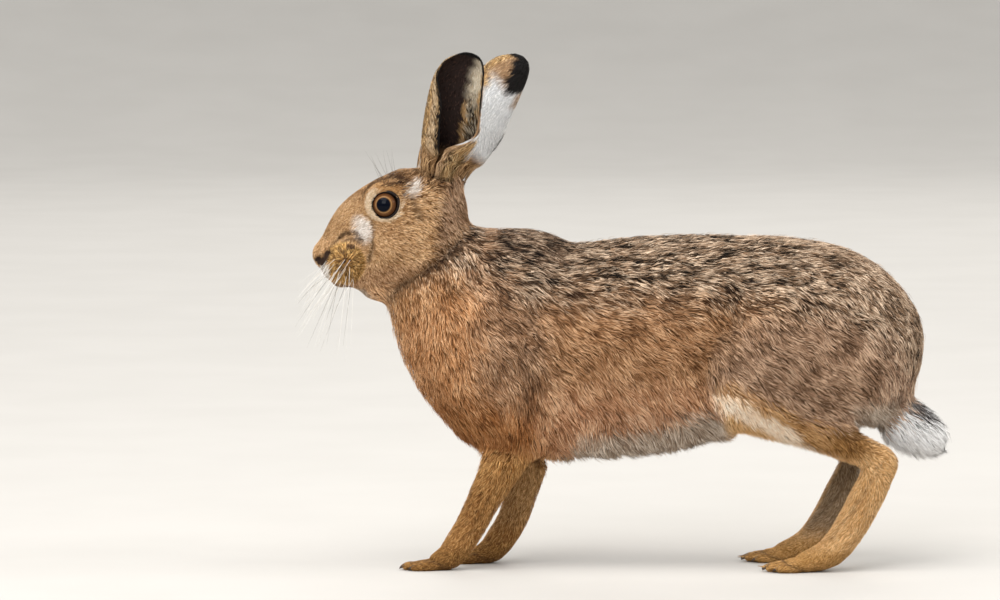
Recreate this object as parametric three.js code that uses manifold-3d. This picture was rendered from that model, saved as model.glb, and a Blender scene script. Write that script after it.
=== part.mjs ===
// A brown hare standing on four feet and looking ahead, life size, in millimetres.
// x runs from the nose (-) to the tail (+), y from the hare's left side (-) to its right (+), z up.
// The body is one smooth field of limbs and muscles. Sleeves of rays find the surface of that field,
// and thin cuts part them into the named pieces. Ears, eyes, lids and claws are made by themselves.
import * as THREE from "three";
import { mergeVertices } from "three/addons/utils/BufferGeometryUtils.js";
import Module from "manifold-3d";

const wasm = await Module();
wasm.setup();

// Driving sizes
const GAP = 0.3; // left between two pieces that touch
const EYE_RADIUS = 11.5;
const EYE = { x: -209.4, y: 18.5, z: 313.3 };
const EAR_WIDTH = 49;
const EAR_WALL = 1.9;
const HALF_TRACK_FORE = 24; // from the middle line to the middle of a forepaw
const HALF_TRACK_HIND = 36;
const FLOOR = 0;

// Coat colours of the pieces
const COAT = {
  back: 0x8a7458,
  flank: 0xa07e5a,
  chest: 0xa87850,
  face: 0xb08a5c,
  leg: 0xb98a4e,
  ear: 0xa68c66,
  tail: 0xd9d8d6,
  iris: 0x7a4a1c,
  claw: 0x3a322c,
};

// Fields: each returns about how far a point is outside a form, and less than nought inside it.

// A smooth line through some points
const curveThrough = (points, tension) => new THREE.CatmullRomCurve3(points, false, "catmullrom", tension);

// A limb runs through stations [x, y, z, deep, wide], whose section is an ellipse that is deep in the
// plane of the limb and the vertical, and wide across it. steps cuts each span into shorter ones.
function limb(stations, steps = 3) {
  const middle = curveThrough(stations.map(([x, y, z]) => new THREE.Vector3(x, y, z)));
  const girth = curveThrough(stations.map(([, , , deep, wide]) => new THREE.Vector3(deep, wide, 0)));
  const count = (stations.length - 1) * steps;
  const across = new THREE.Vector3(0, 1, 0);
  const spans = [];
  for (let i = 0; i < count; i++) {
    const from = middle.getPoint(i / count);
    const to = middle.getPoint((i + 1) / count);
    const along = to.clone().sub(from);
    const length = along.length();
    along.normalize();
    const side = across.clone().addScaledVector(along, -across.dot(along)).normalize();
    spans.push({
      from,
      along,
      side,
      up: along.clone().cross(side),
      length,
      first: girth.getPoint(i / count),
      last: girth.getPoint((i + 1) / count),
    });
  }
  const field = (x, y, z) => {
    let nearest = Infinity;
    for (const { from, along, side, up, length, first, last } of spans) {
      const dx = x - from.x;
      const dy = y - from.y;
      const dz = z - from.z;
      const run = dx * along.x + dy * along.y + dz * along.z;
      const at = Math.min(1, Math.max(0, run / length));
      const deep = first.x + (last.x - first.x) * at;
      const wide = first.y + (last.y - first.y) * at;
      const beyond = run - at * length;
      const s = dx * side.x + dy * side.y + dz * side.z;
      const u = dx * up.x + dy * up.y + dz * up.z;
      nearest = Math.min(nearest, outside(beyond, s, u, (deep + wide) / 2, wide, deep));
    }
    return nearest;
  };
  field.room = new THREE.Box3();
  for (const [x, y, z, deep, wide] of stations) {
    const reach = Math.max(deep, wide) * 1.2;
    field.room.expandByPoint(new THREE.Vector3(x - reach, y - reach, z - reach));
    field.room.expandByPoint(new THREE.Vector3(x + reach, y + reach, z + reach));
  }
  return field;
}

// About how far (a, b, c) is outside an ellipsoid of radii ra, rb, rc about the origin.
function outside(a, b, c, ra, rb, rc) {
  const near = Math.hypot(a / ra, b / rb, c / rc);
  const slope = Math.hypot(a / (ra * ra), b / (rb * rb), c / (rc * rc));
  return slope > 1e-9 ? (near * (near - 1)) / slope : -Math.min(ra, rb, rc);
}

// A muscle is an ellipsoid, tipped nose down by tip degrees. paired ones are on both sides of the body.
function muscle({ x, y = 0, z, radii: [rx, ry, rz], tip = 0 }) {
  const c = Math.cos(THREE.MathUtils.degToRad(tip));
  const s = Math.sin(THREE.MathUtils.degToRad(tip));
  const field = (px, py, pz) => {
    const dx = px - x;
    const dy = (y ? Math.abs(py) : py) - y;
    const dz = pz - z;
    return outside(c * dx + s * dz, dy, c * dz - s * dx, rx, ry, rz);
  };
  const reach = Math.max(rx, ry, rz);
  field.room = new THREE.Box3(
    new THREE.Vector3(x - reach, -y - reach, z - reach),
    new THREE.Vector3(x + reach, y + reach, z + reach),
  );
  return field;
}

// Joins two distances with a fillet of about this size.
function blend(a, b, size) {
  const h = Math.max(size - Math.abs(a - b), 0);
  return Math.min(a, b) - (h * h) / (4 * size);
}

// Trunk, from the withers to the rump: x, y, z, deep, wide
const trunk = limb([
  [-92, 0, 195, 95, 46],
  [-60, 0, 186, 93, 49],
  [-26, 0, 187.5, 95, 51],
  [17, 0, 192, 95, 52],
  [60, 0, 199, 90, 52],
  [103, 0, 207, 81, 51],
  [146, 0, 211, 74, 49],
  [178, 0, 205, 68, 44],
  [202, 0, 192, 56, 36],
]);
const neck = limb([
  [-176, 0, 288, 33, 24],
  [-168, 0, 268, 43, 27],
  [-161, 0, 249, 54, 32],
  [-142, 0, 228, 71, 39],
  [-120, 0, 206, 84, 45],
  [-97, 0, 187, 91, 48],
]);
const withers = muscle({ x: -98, z: 259, radii: [36, 30, 30] });
const shoulder = muscle({ x: -119, y: 26, z: 182, radii: [50, 26, 72], tip: 20 });
const rump = muscle({ x: 192, z: 180, radii: [53, 42, 58], tip: -8 });

// Head: the skull and muzzle, with the pads that carry the whiskers, the chin, cheeks, brows and sockets
const skull = limb([
  [-263, 0, 270, 12, 8.5],
  [-243.5, 0, 271, 29, 15],
  [-223, 0, 279, 43, 20.5],
  [-202, 0, 291.5, 46, 25.5],
  [-184, 0, 305, 42, 26.5],
  [-168, 0, 308, 33, 24],
]);
const whiskerPad = muscle({ x: -245, y: 8.5, z: 260, radii: [19, 10, 18.5] });
const chin = muscle({ x: -240, z: 247.5, radii: [15, 9.5, 8], tip: -8 });
const cheek = muscle({ x: -194, y: 13, z: 274, radii: [29, 15, 26] });
const socket = muscle({ x: EYE.x, y: EYE.y - 3, z: EYE.z, radii: [17, 8.5, 15] });
const brow = muscle({ x: -207, y: 19, z: 328, radii: [17, 6.5, 6], tip: 12 });
const jawRuff = muscle({ x: -207, z: 244, radii: [19, 16, 8.5], tip: 22 });

const EAR_ROOT = {
  left: { x: -163, y: -15, z: 341 },
  right: { x: -154, y: 15, z: 339 },
};
const EAR_TIP = {
  left: { x: -137.5, y: -56, z: 446 },
  right: { x: -93, y: 34, z: 440 },
};
const EAR_STALK = { deep: 14.5, wide: 12 };
const earStalk = (side) => {
  const { x, y, z } = EAR_ROOT[side];
  const tip = EAR_TIP[side];
  const lean = new THREE.Vector3(tip.x - x, tip.y - y, tip.z - z).normalize().multiplyScalar(12);
  return limb([
    [x - 5, y * 0.8, z - 26, 12, 11],
    [x, y, z, EAR_STALK.deep, EAR_STALK.wide],
    [x + lean.x, y + lean.y, z + lean.z, EAR_STALK.deep, EAR_STALK.wide],
  ]);
};

// Legs: the stations of each limb on the left, and how far its foot stands from that on the right
const SIDES = { left: -1, right: 1 };
const FORE_REACH = { left: 0, right: 36 }; // the right forepaw is set back by this
const HIND_REACH = { left: 0, right: -15 }; // the right hind foot is a little further on

function foreLeg(side) {
  const y = SIDES[side] * HALF_TRACK_FORE;
  const back = FORE_REACH[side];
  return limb([
    [-96 + back * 0.25, y * 1.15, 150, 36, 20],
    [-101 + back * 0.5, y * 1.05, 112, 23, 16],
    [-113.5 + back * 0.7, y, 84, 17, 13],
    [-127 + back * 0.9, y, 58, 14, 11],
    [-137 + back, y, 38, 13.2, 10.5],
    [-148.5 + back, y, 20, 12, 10.5],
  ]);
}

// Four toes fan out from the ball of a foot: each is a short limb with a soft arch.
const TOES = 4;
const FORE_BALL = { x: -155, z: 7 };
const HIND_BALL = { x: 162, z: 10 };
function toes(side, { ball, reach, radius, spread, halfTrack, back }) {
  const made = [];
  for (let i = 0; i < TOES; i++) {
    const share = i / (TOES - 1) - 0.5; // from the inner toe to the outer
    const y = SIDES[side] * halfTrack + share * spread;
    const length = reach * (1 - 0.9 * share * share);
    const start = [ball.x + back + 3, SIDES[side] * halfTrack + share * spread * 0.4, ball.z];
    const bend = [ball.x + back - length * 0.6, y, radius * 0.95];
    const tip = [ball.x + back - length, y + share * 3, radius * 0.66];
    made.push({ start, bend, tip, radius });
  }
  return made;
}
const foreToes = (side) => {
  const stance = { halfTrack: HALF_TRACK_FORE, back: FORE_REACH[side] };
  return toes(side, { ball: FORE_BALL, reach: 38, radius: 4.6, spread: 17, ...stance });
};
const hindToes = (side) => {
  const stance = { halfTrack: HALF_TRACK_HIND, back: HIND_REACH[side] };
  return toes(side, { ball: HIND_BALL, reach: 43, radius: 5.6, spread: 21, ...stance });
};
const toeLimb = ({ start, bend, tip, radius }) =>
  limb(
    [
      [...start, radius * 0.8, radius * 0.8],
      [...bend, radius, radius],
      [...tip, radius * 0.74, radius * 0.78],
    ],
    4,
  );

const palm = (side) => {
  const y = SIDES[side] * HALF_TRACK_FORE;
  const back = FORE_REACH[side];
  return limb([
    [-146 + back, y, 22, 11.5, 10.5],
    [-155.5 + back, y, 11, 11, 11],
    [-164 + back, y, 7.5, 8.3, 11],
  ]);
};

function thigh(side) {
  const y = SIDES[side] * HALF_TRACK_HIND;
  const back = HIND_REACH[side];
  return limb([
    [186, y * 0.83, 203, 65, 27],
    [150, y * 0.97, 186, 58, 25],
    [112 + back * 0.4, y * 1.05, 165, 39, 21],
    [86 + back * 0.7, y * 1.08, 149, 21, 15],
  ]);
}

function shank(side) {
  const y = SIDES[side] * HALF_TRACK_HIND;
  const back = HIND_REACH[side];
  return limb([
    [90 + back * 0.7, y * 1.06, 147, 21, 15],
    [125 + back * 0.8, y * 1.04, 134, 20, 15],
    [163 + back * 0.9, y, 119, 16, 13],
    [196 + back, y, 105, 13.5, 11],
    [217 + back, y, 97, 10.5, 9.5],
  ]);
}

function hindFoot(side) {
  const y = SIDES[side] * HALF_TRACK_HIND;
  const back = HIND_REACH[side];
  return limb([
    [216 + back, y, 92, 13, 10],
    [202 + back, y, 64, 15, 10.5],
    [188 + back, y, 38, 14, 12],
    [172 + back, y, 17, 12.5, 14],
    [150 + back, y, 8, 8.5, 14],
  ]);
}

const scut = limb([
  [206, 0, 151, 17, 14],
  [224, 0, 134, 23, 16.5],
  [241, 0, 121, 23.5, 18],
  [257.9, 0, 112.5, 17.5, 16.5],
]);

// The whole body as one field
const perSide = (make) => [make("left"), make("right")];
const legs = [
  ...perSide(foreLeg).map((field) => ({ field, fillet: 11 })),
  ...perSide(thigh).map((field) => ({ field, fillet: 24 })),
  ...perSide(shank).map((field) => ({ field, fillet: 18 })),
  ...perSide(hindFoot).map((field) => ({ field, fillet: 7 })),
  ...perSide(palm).map((field) => ({ field, fillet: 4 })),
];
const allToes = [...perSide(foreToes), ...perSide(hindToes)].flat();
const digits = allToes.map((toe) => ({ field: toeLimb(toe), fillet: 2.2 }));
const FLESH = [
  { field: trunk, fillet: 1 },
  { field: neck, fillet: 14 },
  { field: withers, fillet: 18 },
  { field: shoulder, fillet: 22 },
  { field: rump, fillet: 24 },
  { field: skull, fillet: 12 },
  { field: cheek, fillet: 12 },
  { field: whiskerPad, fillet: 5 },
  { field: chin, fillet: 3 },
  { field: jawRuff, fillet: 18 },
  { field: socket, fillet: 9 },
  { field: brow, fillet: 7 },
  ...perSide(earStalk).map((field) => ({ field, fillet: 8 })),
  ...legs,
  ...digits,
  { field: scut, fillet: 10 },
];
// The body as seen from inside a box: a form that doesn't reach the box is left out of the sum.
function fleshNear([lowest, highest]) {
  const room = new THREE.Box3(new THREE.Vector3(...lowest), new THREE.Vector3(...highest));
  const near = FLESH.filter(({ field, fillet }) => {
    const reach = field.room.clone().expandByScalar(fillet);
    return reach.intersectsBox(room);
  });
  return (x, y, z) => {
    let d = 1e3;
    for (const { field, fillet } of near) d = blend(d, field(x, y, z), fillet);
    return d;
  };
}

// The place where a ray that starts inside a field comes out of it
function wayOut(field, from, way, reach) {
  const p = new THREE.Vector3();
  const at = (r) => field(...p.copy(from).addScaledVector(way, r).toArray());
  let inner = 0;
  let r = 0;
  for (let d = at(0); d < 0 && r < reach; d = at(r)) {
    inner = r;
    r += Math.max(0.6, -d * 0.7);
  }
  for (let turn = 0, outer = r; turn < 14; turn++) {
    r = (inner + outer) / 2;
    if (at(r) < 0) inner = r;
    else outer = r;
  }
  return p.copy(from).addScaledVector(way, r).clone();
}

// A sleeve follows a line of middles through a field: rings of points on its surface, where rays that
// leave the line squarely come out. Its first end is shut flat, for a seam to trim, and so is its last
// unless it is round. With a hinge [x, z], the planes of the rings turn about that point like a fan.
function sleeve(field, middles, { rings, sectors, round = 0, reach = 160, hinge }) {
  const line = curveThrough(middles.map((m) => new THREE.Vector3(...m)));
  const points = [];
  const ring = (middle, along, rise) => {
    const side = new THREE.Vector3(0, 1, 0).addScaledVector(along, -along.y).normalize();
    const up = along.clone().cross(side);
    for (let k = 0; k < sectors; k++) {
      const turn = ((k + 0.5) / sectors) * Math.PI * 2;
      const way = side.clone().multiplyScalar(Math.cos(turn)).addScaledVector(up, Math.sin(turn));
      way.multiplyScalar(Math.cos(rise)).addScaledVector(along, Math.sin(rise));
      points.push(...wayOut(field, middle, way, reach).toArray());
    }
  };
  const heading = (share) => {
    if (!hinge) return line.getTangent(share);
    const p = line.getPoint(share);
    return new THREE.Vector3(hinge[1] - p.z, 0, p.x - hinge[0]).normalize();
  };
  for (let i = 0; i <= rings; i++) ring(line.getPoint(i / rings), heading(i / rings), 0);
  const last = line.getPoint(1);
  for (let i = 1; i <= round; i++) ring(last, heading(1), (i / (round + 0.5)) * (Math.PI / 2));
  const count = rings + round;
  const first = points.length / 3;
  points.push(...line.getPoint(0).toArray());
  points.push(...(round ? wayOut(field, last, heading(1), reach) : last).toArray());
  const faces = [];
  const at = (i, k) => i * sectors + (k % sectors);
  const far = (a, b) => Math.hypot(...[0, 1, 2].map((c) => points[a * 3 + c] - points[b * 3 + c]));
  for (let i = 0; i < count; i++)
    for (let k = 0; k < sectors; k++) {
      const [a, b, c, d] = [at(i, k), at(i + 1, k), at(i + 1, k + 1), at(i, k + 1)];
      if (far(a, c) < far(b, d)) faces.push(a, b, c, a, c, d);
      else faces.push(a, b, d, b, c, d);
    }
  for (let k = 0; k < sectors; k++) {
    faces.push(first, at(0, k), at(0, k + 1));
    faces.push(first + 1, at(count, k + 1), at(count, k));
  }
  const geometry = new THREE.BufferGeometry();
  geometry.setAttribute("position", new THREE.Float32BufferAttribute(points, 3));
  geometry.setIndex(faces);
  return facingOut(geometry);
}

// Solids for joining and cutting, made from three.js geometry
function solid(geometry, place = new THREE.Matrix4()) {
  const bare = geometry.clone().applyMatrix4(place);
  for (const name of Object.keys(bare.attributes)) if (name !== "position") bare.deleteAttribute(name);
  const merged = mergeVertices(bare, 1e-4);
  return new wasm.Manifold(
    new wasm.Mesh({
      numProp: 3,
      vertProperties: merged.attributes.position.array,
      triVerts: new Uint32Array(merged.index.array),
    }),
  );
}

function geometryOf(made) {
  const { vertProperties, triVerts, numProp } = made.getMesh();
  const geometry = new THREE.BufferGeometry();
  const position = new Float32Array((vertProperties.length / numProp) * 3);
  for (let i = 0; i < position.length / 3; i++) {
    position.set(vertProperties.subarray(i * numProp, i * numProp + 3), i * 3);
  }
  geometry.setAttribute("position", new THREE.BufferAttribute(position, 3));
  geometry.setIndex(new THREE.BufferAttribute(triVerts, 1));
  geometry.computeVertexNormals();
  return geometry;
}

// Only the largest closed surface of a solid is kept, and a loose scrap is dropped.
const largest = (made) => made.decompose().sort((a, b) => b.volume() - a.volume())[0];

const placed = ({ x = 0, y = 0, z = 0 }, { rx = 0, ry = 0, rz = 0 } = {}, scale = [1, 1, 1]) =>
  new THREE.Matrix4().compose(
    new THREE.Vector3(x, y, z),
    new THREE.Quaternion().setFromEuler(
      new THREE.Euler(...[rx, ry, rz].map((a) => THREE.MathUtils.degToRad(a))),
    ),
    new THREE.Vector3(...scale),
  );

// A seam is a flat cut across the body through a point. beyond(seam) is the side that its normal points to,
// before(seam) the other, and each stops half a gap short of it.
const BIG = 900;
const seam = (x, y, z, nx, ny, nz) => ({
  at: new THREE.Vector3(x, y, z),
  normal: new THREE.Vector3(nx, ny, nz).normalize(),
});
function halfSpace({ at, normal }, sign) {
  const facing = normal.clone().multiplyScalar(sign);
  const middle = at.clone().addScaledVector(facing, GAP / 2 + BIG / 2);
  const turn = new THREE.Quaternion().setFromUnitVectors(new THREE.Vector3(0, 0, 1), facing);
  const place = new THREE.Matrix4().compose(middle, turn, new THREE.Vector3(1, 1, 1));
  return solid(new THREE.BoxGeometry(BIG, BIG, BIG), place);
}
const beyond = (cut) => halfSpace(cut, 1);
const before = (cut) => halfSpace(cut, -1);
// A seam that runs in the plane of the body's side view, through two points [x, z]; its normal is on the
// left of the way from the first to the second.
const sideSeam = ([x0, z0], [x1, z1]) => seam(x0, 0, z0, -(z1 - z0), 0, x1 - x0);

const headSeam = sideSeam([-211, 228], [-137.6, 303.6]);
const neckSeam = sideSeam([-189, 149], [-104, 294]);
const loinSeam = seam(17, 0, 0, -1, 0, 0);
const tailSeam = sideSeam([215, 120], [238, 143]);
const foreLegSeam = sideSeam([-124.7, 104], [-68.8, 88]);
const ELBOW_REAR = -64; // the belly behind this stays with the chest
const wristSeam = (side) => sideSeam([-157.5 + FORE_REACH[side], 34.8], [-131.5 + FORE_REACH[side], 20.2]);
const kneeSeam = sideSeam([96, 127], [205, 123]);
const KNEE_FRONT = 99; // the belly in front of this stays with the trunk
const hockSeam = (side) => sideSeam([183 + HIND_REACH[side], 84], [228 + HIND_REACH[side], 107]);
const earSeam = (side) => {
  const { x, y, z } = EAR_ROOT[side];
  const tip = EAR_TIP[side];
  return seam(x, y, z, tip.x - x, tip.y - y, tip.z - z);
};

// The outlines of the shoulder and thigh, seen from the side, are ellipses that run out sideways.
const SHOULDER_PATCH = { x: -120, z: 172, across: 47, up: 68, tip: 18, from: 27 };
const THIGH_PATCH = { x: 166, z: 186, across: 92, up: 70, tip: -22, from: 24 };
function sidePatch({ x, z, across, up, tip, from }, side, grow) {
  const reach = 120;
  const round = new THREE.CylinderGeometry(1, 1, reach, 48);
  const y = SIDES[side] * (from - grow + reach / 2);
  return solid(round, placed({ x, y, z }, { ry: tip }, [across + grow, 1, up + grow]));
}
const inPatch = (patch, side) => sidePatch(patch, side, -GAP / 2);
const aroundPatch = (patch, side) => sidePatch(patch, side, GAP / 2);

const upright = (x, sign) => halfSpace(seam(x, 0, 0, sign, 0, 0), 1);
const behindKnee = (sign) => upright(KNEE_FRONT, sign);
const behindElbow = (sign) => upright(ELBOW_REAR, sign);
// All that lies on one side of the middle line, between two corners [x, z] of the side view
const SIDE_BREADTH = 160;
function sideBox(side, [x0, z0], [x1, z1]) {
  const box = new THREE.BoxGeometry(x1 - x0, SIDE_BREADTH, z1 - z0);
  const y = SIDES[side] * (SIDE_BREADTH / 2 + GAP / 2);
  return solid(box, placed({ x: (x0 + x1) / 2, y, z: (z0 + z1) / 2 }));
}
const floor = halfSpace(seam(0, 0, FLOOR - GAP / 2, 0, 0, 1), 1);

// A piece of flesh: kept inside some solids and cleared of others
function cut(made, keep, drop = []) {
  for (const region of keep) made = made.intersect(region);
  for (const region of drop) made = made.subtract(region);
  return largest(made);
}

// How far a point is past a seam, for a field that has to end a little way past it
const PAST = 6;
const past = ({ at, normal }, sign) => (x, y, z) =>
  sign * ((x - at.x) * normal.x + (y - at.y) * normal.y + (z - at.z) * normal.z) - PAST;

// Head
const EYE_CLEARANCE = GAP;
const eyeball = (side, radius) =>
  solid(new THREE.SphereGeometry(radius, 16, 11), placed({ x: EYE.x, y: SIDES[side] * EYE.y, z: EYE.z }));
// The lids are one ring that lies on the eyeball, longer than it is high and lower at the inner corner.
// It faces sideways, a little forward and a little up.
const LID = { ring: 11.3, thick: 1.5, out: 4.4, stretch: 1.07, forward: 12, raised: 6, slant: 28 };
function lids(side) {
  const [forward, raised] = [LID.forward, LID.raised].map((a) => THREE.MathUtils.degToRad(a));
  const facing = new THREE.Vector3(-Math.sin(forward), SIDES[side] * Math.cos(forward), Math.sin(raised));
  facing.normalize();
  const slant = THREE.MathUtils.degToRad(LID.slant);
  const long = new THREE.Vector3(Math.cos(slant), 0, Math.sin(slant));
  long.addScaledVector(facing, -long.dot(facing)).normalize();
  const short = facing.clone().cross(long);
  const middle = new THREE.Vector3(EYE.x, SIDES[side] * EYE.y, EYE.z).addScaledVector(facing, LID.out);
  const place = new THREE.Matrix4().makeBasis(long.multiplyScalar(LID.stretch), short, facing);
  return solid(new THREE.TorusGeometry(LID.ring, LID.thick, 7, 24), place.setPosition(middle));
}
// A nostril is a slanting pit between the tip of the nose and the whisker pad.
const nostril = (side) => {
  const place = placed({ x: -266, y: SIDES[side] * 7, z: 267 }, { ry: 30 }, [2.6, 4, 5]);
  return solid(new THREE.SphereGeometry(1, 12, 8), place);
};
// The split between the two halves of the upper lip
const lipSplit = () => solid(new THREE.BoxGeometry(14, 0.9, 11), placed({ x: -267, z: 258.5 }, { ry: 20 }));
// The line of the mouth: a thin plate under the lip pads, kept out of the middle of the muzzle
const MOUTH = { x: -250, z: 249.5, tip: 18, opening: 1, depth: 2.6 };
const mouthLine = () => {
  const plate = solid(new THREE.BoxGeometry(34, 44, MOUTH.opening), placed(MOUTH, { ry: MOUTH.tip }));
  const flesh = fleshNear([[-285, -26, 225], [-222, 26, 275]]);
  const inner = (x, y, z) => flesh(x, y, z) + MOUTH.depth;
  const fineness = { rings: 4, sectors: 26, round: 5, hinge: HEAD_HINGE };
  return plate.subtract(sleeve(inner, HEAD_LINE.slice(-3), fineness));
};

const HEAD_LINE = [
  [-163, 0, 271.5],
  [-175, 0, 283],
  [-190, 0, 291],
  [-207, 0, 288],
  [-224, 0, 280],
  [-240, 0, 273],
  [-251, 0, 268.5],
];
const HEAD_HINGE = [-226, 212.5];
function headPiece() {
  const flesh = fleshNear([[-285, -48, 200], [-118, 48, 368]]);
  const skin = sleeve(flesh, HEAD_LINE, { rings: 19, sectors: 36, round: 6, hinge: HEAD_HINGE });
  let made = cut(skin, [beyond(headSeam), before(earSeam("left")), before(earSeam("right"))]);
  for (const side of Object.keys(SIDES)) {
    made = made.add(lids(side)).subtract(eyeball(side, EYE_RADIUS + EYE_CLEARANCE));
    made = made.subtract(nostril(side));
  }
  return largest(made.subtract(lipSplit()).subtract(mouthLine()));
}

// Ears: a thin leaf of gristle, rolled into a cup. Up to a third of its height it is a tube with a slit
// towards the side. Above that its rear half lies open, and its front edge stays curled over until near
// the tip. leaf: how far up the ear, how wide there as a share of its widest, and how far its middle
// leans to the rear
const leaf = curveThrough(
  [
    [0, 0.63, -2.6],
    [0.1, 0.68, -3],
    [0.17, 0.87, 0],
    [0.28, 0.95, 0],
    [0.4, 1, 0],
    [0.52, 0.985, -1.2],
    [0.65, 0.94, -2.4],
    [0.77, 0.87, -2.8],
    [0.88, 0.72, -1.4],
    [0.945, 0.51, 1],
    [0.985, 0.29, 2.2],
    [1, 0.07, 2.6],
  ].map(([along, width, lean]) => new THREE.Vector3(along, width, lean)),
  0.4,
);
const EAR_ROWS = 13;
const EAR_COLUMNS = 13;
const EAR_DEPTH = 13; // from the middle of the cup to its back
const EAR_TURN = { left: 10, right: 30 }; // how far the cup faces forward of sideways, in degrees
const ease = (from, to, at) => THREE.MathUtils.smoothstep(at, from, to);
function earSurface(side) {
  const root = new THREE.Vector3(EAR_ROOT[side].x, EAR_ROOT[side].y, EAR_ROOT[side].z);
  const tip = new THREE.Vector3(EAR_TIP[side].x, EAR_TIP[side].y, EAR_TIP[side].z);
  const up = tip.clone().sub(root);
  const length = up.length();
  up.normalize();
  const turned = THREE.MathUtils.degToRad(EAR_TURN[side]);
  const out = new THREE.Vector3(-Math.sin(turned), SIDES[side] * Math.cos(turned), 0);
  out.addScaledVector(up, -out.dot(up)).normalize();
  const rear = new THREE.Vector3().crossVectors(out, up).multiplyScalar(SIDES[side]).normalize();
  return (u, v, inward) => {
    const { x: along, y: width, z: lean } = leaf.getPoint(v);
    const half = (EAR_WIDTH / 2) * width - inward;
    const full = THREE.MathUtils.lerp(EAR_STALK.wide, EAR_DEPTH, ease(0, 0.3, along));
    const depth = full * Math.min(1, width * 1.2) - inward;
    const front = -176 + 18 * ease(0, 0.55, along) + 62 * ease(0.55, 0.95, along);
    const back = 178 - 84 * ease(0.22, 0.44, along);
    const angle = THREE.MathUtils.degToRad(THREE.MathUtils.lerp(front, back, u));
    return root
      .clone()
      .addScaledVector(up, GAP / 2 + along * (length - GAP))
      .addScaledVector(rear, Math.sin(angle) * half + lean)
      .addScaledVector(out, -Math.cos(angle) * depth + 2 * ease(0, 0.4, along));
  };
}

// A thin curved sheet: the same grid of points on both faces, sewn together around the rim
function sheet(surface, wall, columns, rows) {
  const points = [];
  const layer = (columns + 1) * (rows + 1);
  for (const inner of [0, 1])
    for (let j = 0; j <= rows; j++)
      for (let i = 0; i <= columns; i++) {
        points.push(...surface(i / columns, j / rows, inner * wall(j / rows)).toArray());
      }
  const at = (i, j, inner) => inner * layer + j * (columns + 1) + i;
  const faces = [];
  const quad = (a, b, c, d) => faces.push(a, b, c, a, c, d);
  for (let j = 0; j < rows; j++)
    for (let i = 0; i < columns; i++) {
      quad(at(i, j, 0), at(i + 1, j, 0), at(i + 1, j + 1, 0), at(i, j + 1, 0));
      faces.push(at(i, j, 1), at(i + 1, j + 1, 1), at(i + 1, j, 1));
      faces.push(at(i, j, 1), at(i, j + 1, 1), at(i + 1, j + 1, 1));
    }
  for (let j = 0; j < rows; j++) {
    quad(at(0, j, 1), at(0, j, 0), at(0, j + 1, 0), at(0, j + 1, 1));
    quad(at(columns, j, 0), at(columns, j, 1), at(columns, j + 1, 1), at(columns, j + 1, 0));
  }
  for (let i = 0; i < columns; i++) {
    quad(at(i, 0, 1), at(i + 1, 0, 1), at(i + 1, 0, 0), at(i, 0, 0));
    quad(at(i, rows, 0), at(i + 1, rows, 0), at(i + 1, rows, 1), at(i, rows, 1));
  }
  const geometry = new THREE.BufferGeometry();
  geometry.setAttribute("position", new THREE.Float32BufferAttribute(points, 3));
  geometry.setIndex(faces);
  return geometry;
}
function facingOut(geometry) {
  const made = solid(geometry);
  if (made.volume() > 0) return made;
  const turned = geometry.clone();
  const faces = turned.index.array;
  for (let i = 0; i < faces.length; i += 3) [faces[i + 1], faces[i + 2]] = [faces[i + 2], faces[i + 1]];
  return solid(turned);
}
const earWall = (v) => THREE.MathUtils.lerp(EAR_WALL * 1.5, EAR_WALL * 0.6, ease(0, 0.8, v));
const earPiece = (side) => facingOut(sheet(earSurface(side), earWall, EAR_COLUMNS, EAR_ROWS));

// A claw: a short horn that grows from the end of a toe and points forward and down to just above the floor
function claw({ tip: [x, y, z], radius }) {
  const length = radius * 1.7;
  const horn = new THREE.ConeGeometry(radius * 0.34, length, 6);
  const middle = { x: x - radius * 0.55 - length * 0.36, y, z: z + radius * 0.1 };
  return solid(horn, placed(middle, { rz: 97 }));
}

// Putting the pieces together
const hare = new THREE.Group();
function add(name, made, colour, roughness = 0.9) {
  const material = new THREE.MeshStandardMaterial({ color: colour, roughness, metalness: 0 });
  const part = new THREE.Mesh(geometryOf(largest(made)), material);
  part.name = name;
  hare.add(part);
}

add("head", headPiece(), COAT.face);
// Neck, trunk, shoulders and thighs are cut from one sleeve that runs from the nape to the rump.
const BODY_LINE = [
  [-162, 0, 296],
  [-152, 0, 284],
  [-135, 0, 267],
  [-113, 0, 251],
  [-88, 0, 237],
  [-60, 0, 224],
  [-26, 0, 216],
  [25, 0, 214],
  [80, 0, 214],
  [140, 0, 210],
  [180, 0, 200],
  [200, 0, 191],
];
const bodyFlesh = fleshNear([[-225, -90, 95], [290, 90, 330]]);
const pastForeLeg = past(foreLegSeam, -1);
const pastKnee = past(kneeSeam, -1);
const pastTail = past(tailSeam, -1);
const bodyField = (x, y, z) =>
  Math.max(
    bodyFlesh(x, y, z),
    Math.min(pastForeLeg(x, y, z), ELBOW_REAR - PAST - x),
    Math.min(pastKnee(x, y, z), x - KNEE_FRONT - PAST),
    pastTail(x, y, z),
  );
const body = sleeve(bodyField, BODY_LINE, { rings: 31, sectors: 34, round: 5 });
const bothPatches = (patch) => Object.keys(SIDES).map((side) => aroundPatch(patch, side));
add("neck", cut(body, [before(headSeam), beyond(neckSeam)]), COAT.chest);
const aboveForeLegs = beyond(foreLegSeam).add(behindElbow(1));
const chest = cut(body, [before(neckSeam), beyond(loinSeam), aboveForeLegs], bothPatches(SHOULDER_PATCH));
add("chest", chest, COAT.flank);
const aboveKnees = beyond(kneeSeam).add(behindKnee(-1));
const loins = cut(body, [before(loinSeam), aboveKnees, beyond(tailSeam)], bothPatches(THIGH_PATCH));
add("loins_and_rump", loins, COAT.back);

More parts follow.
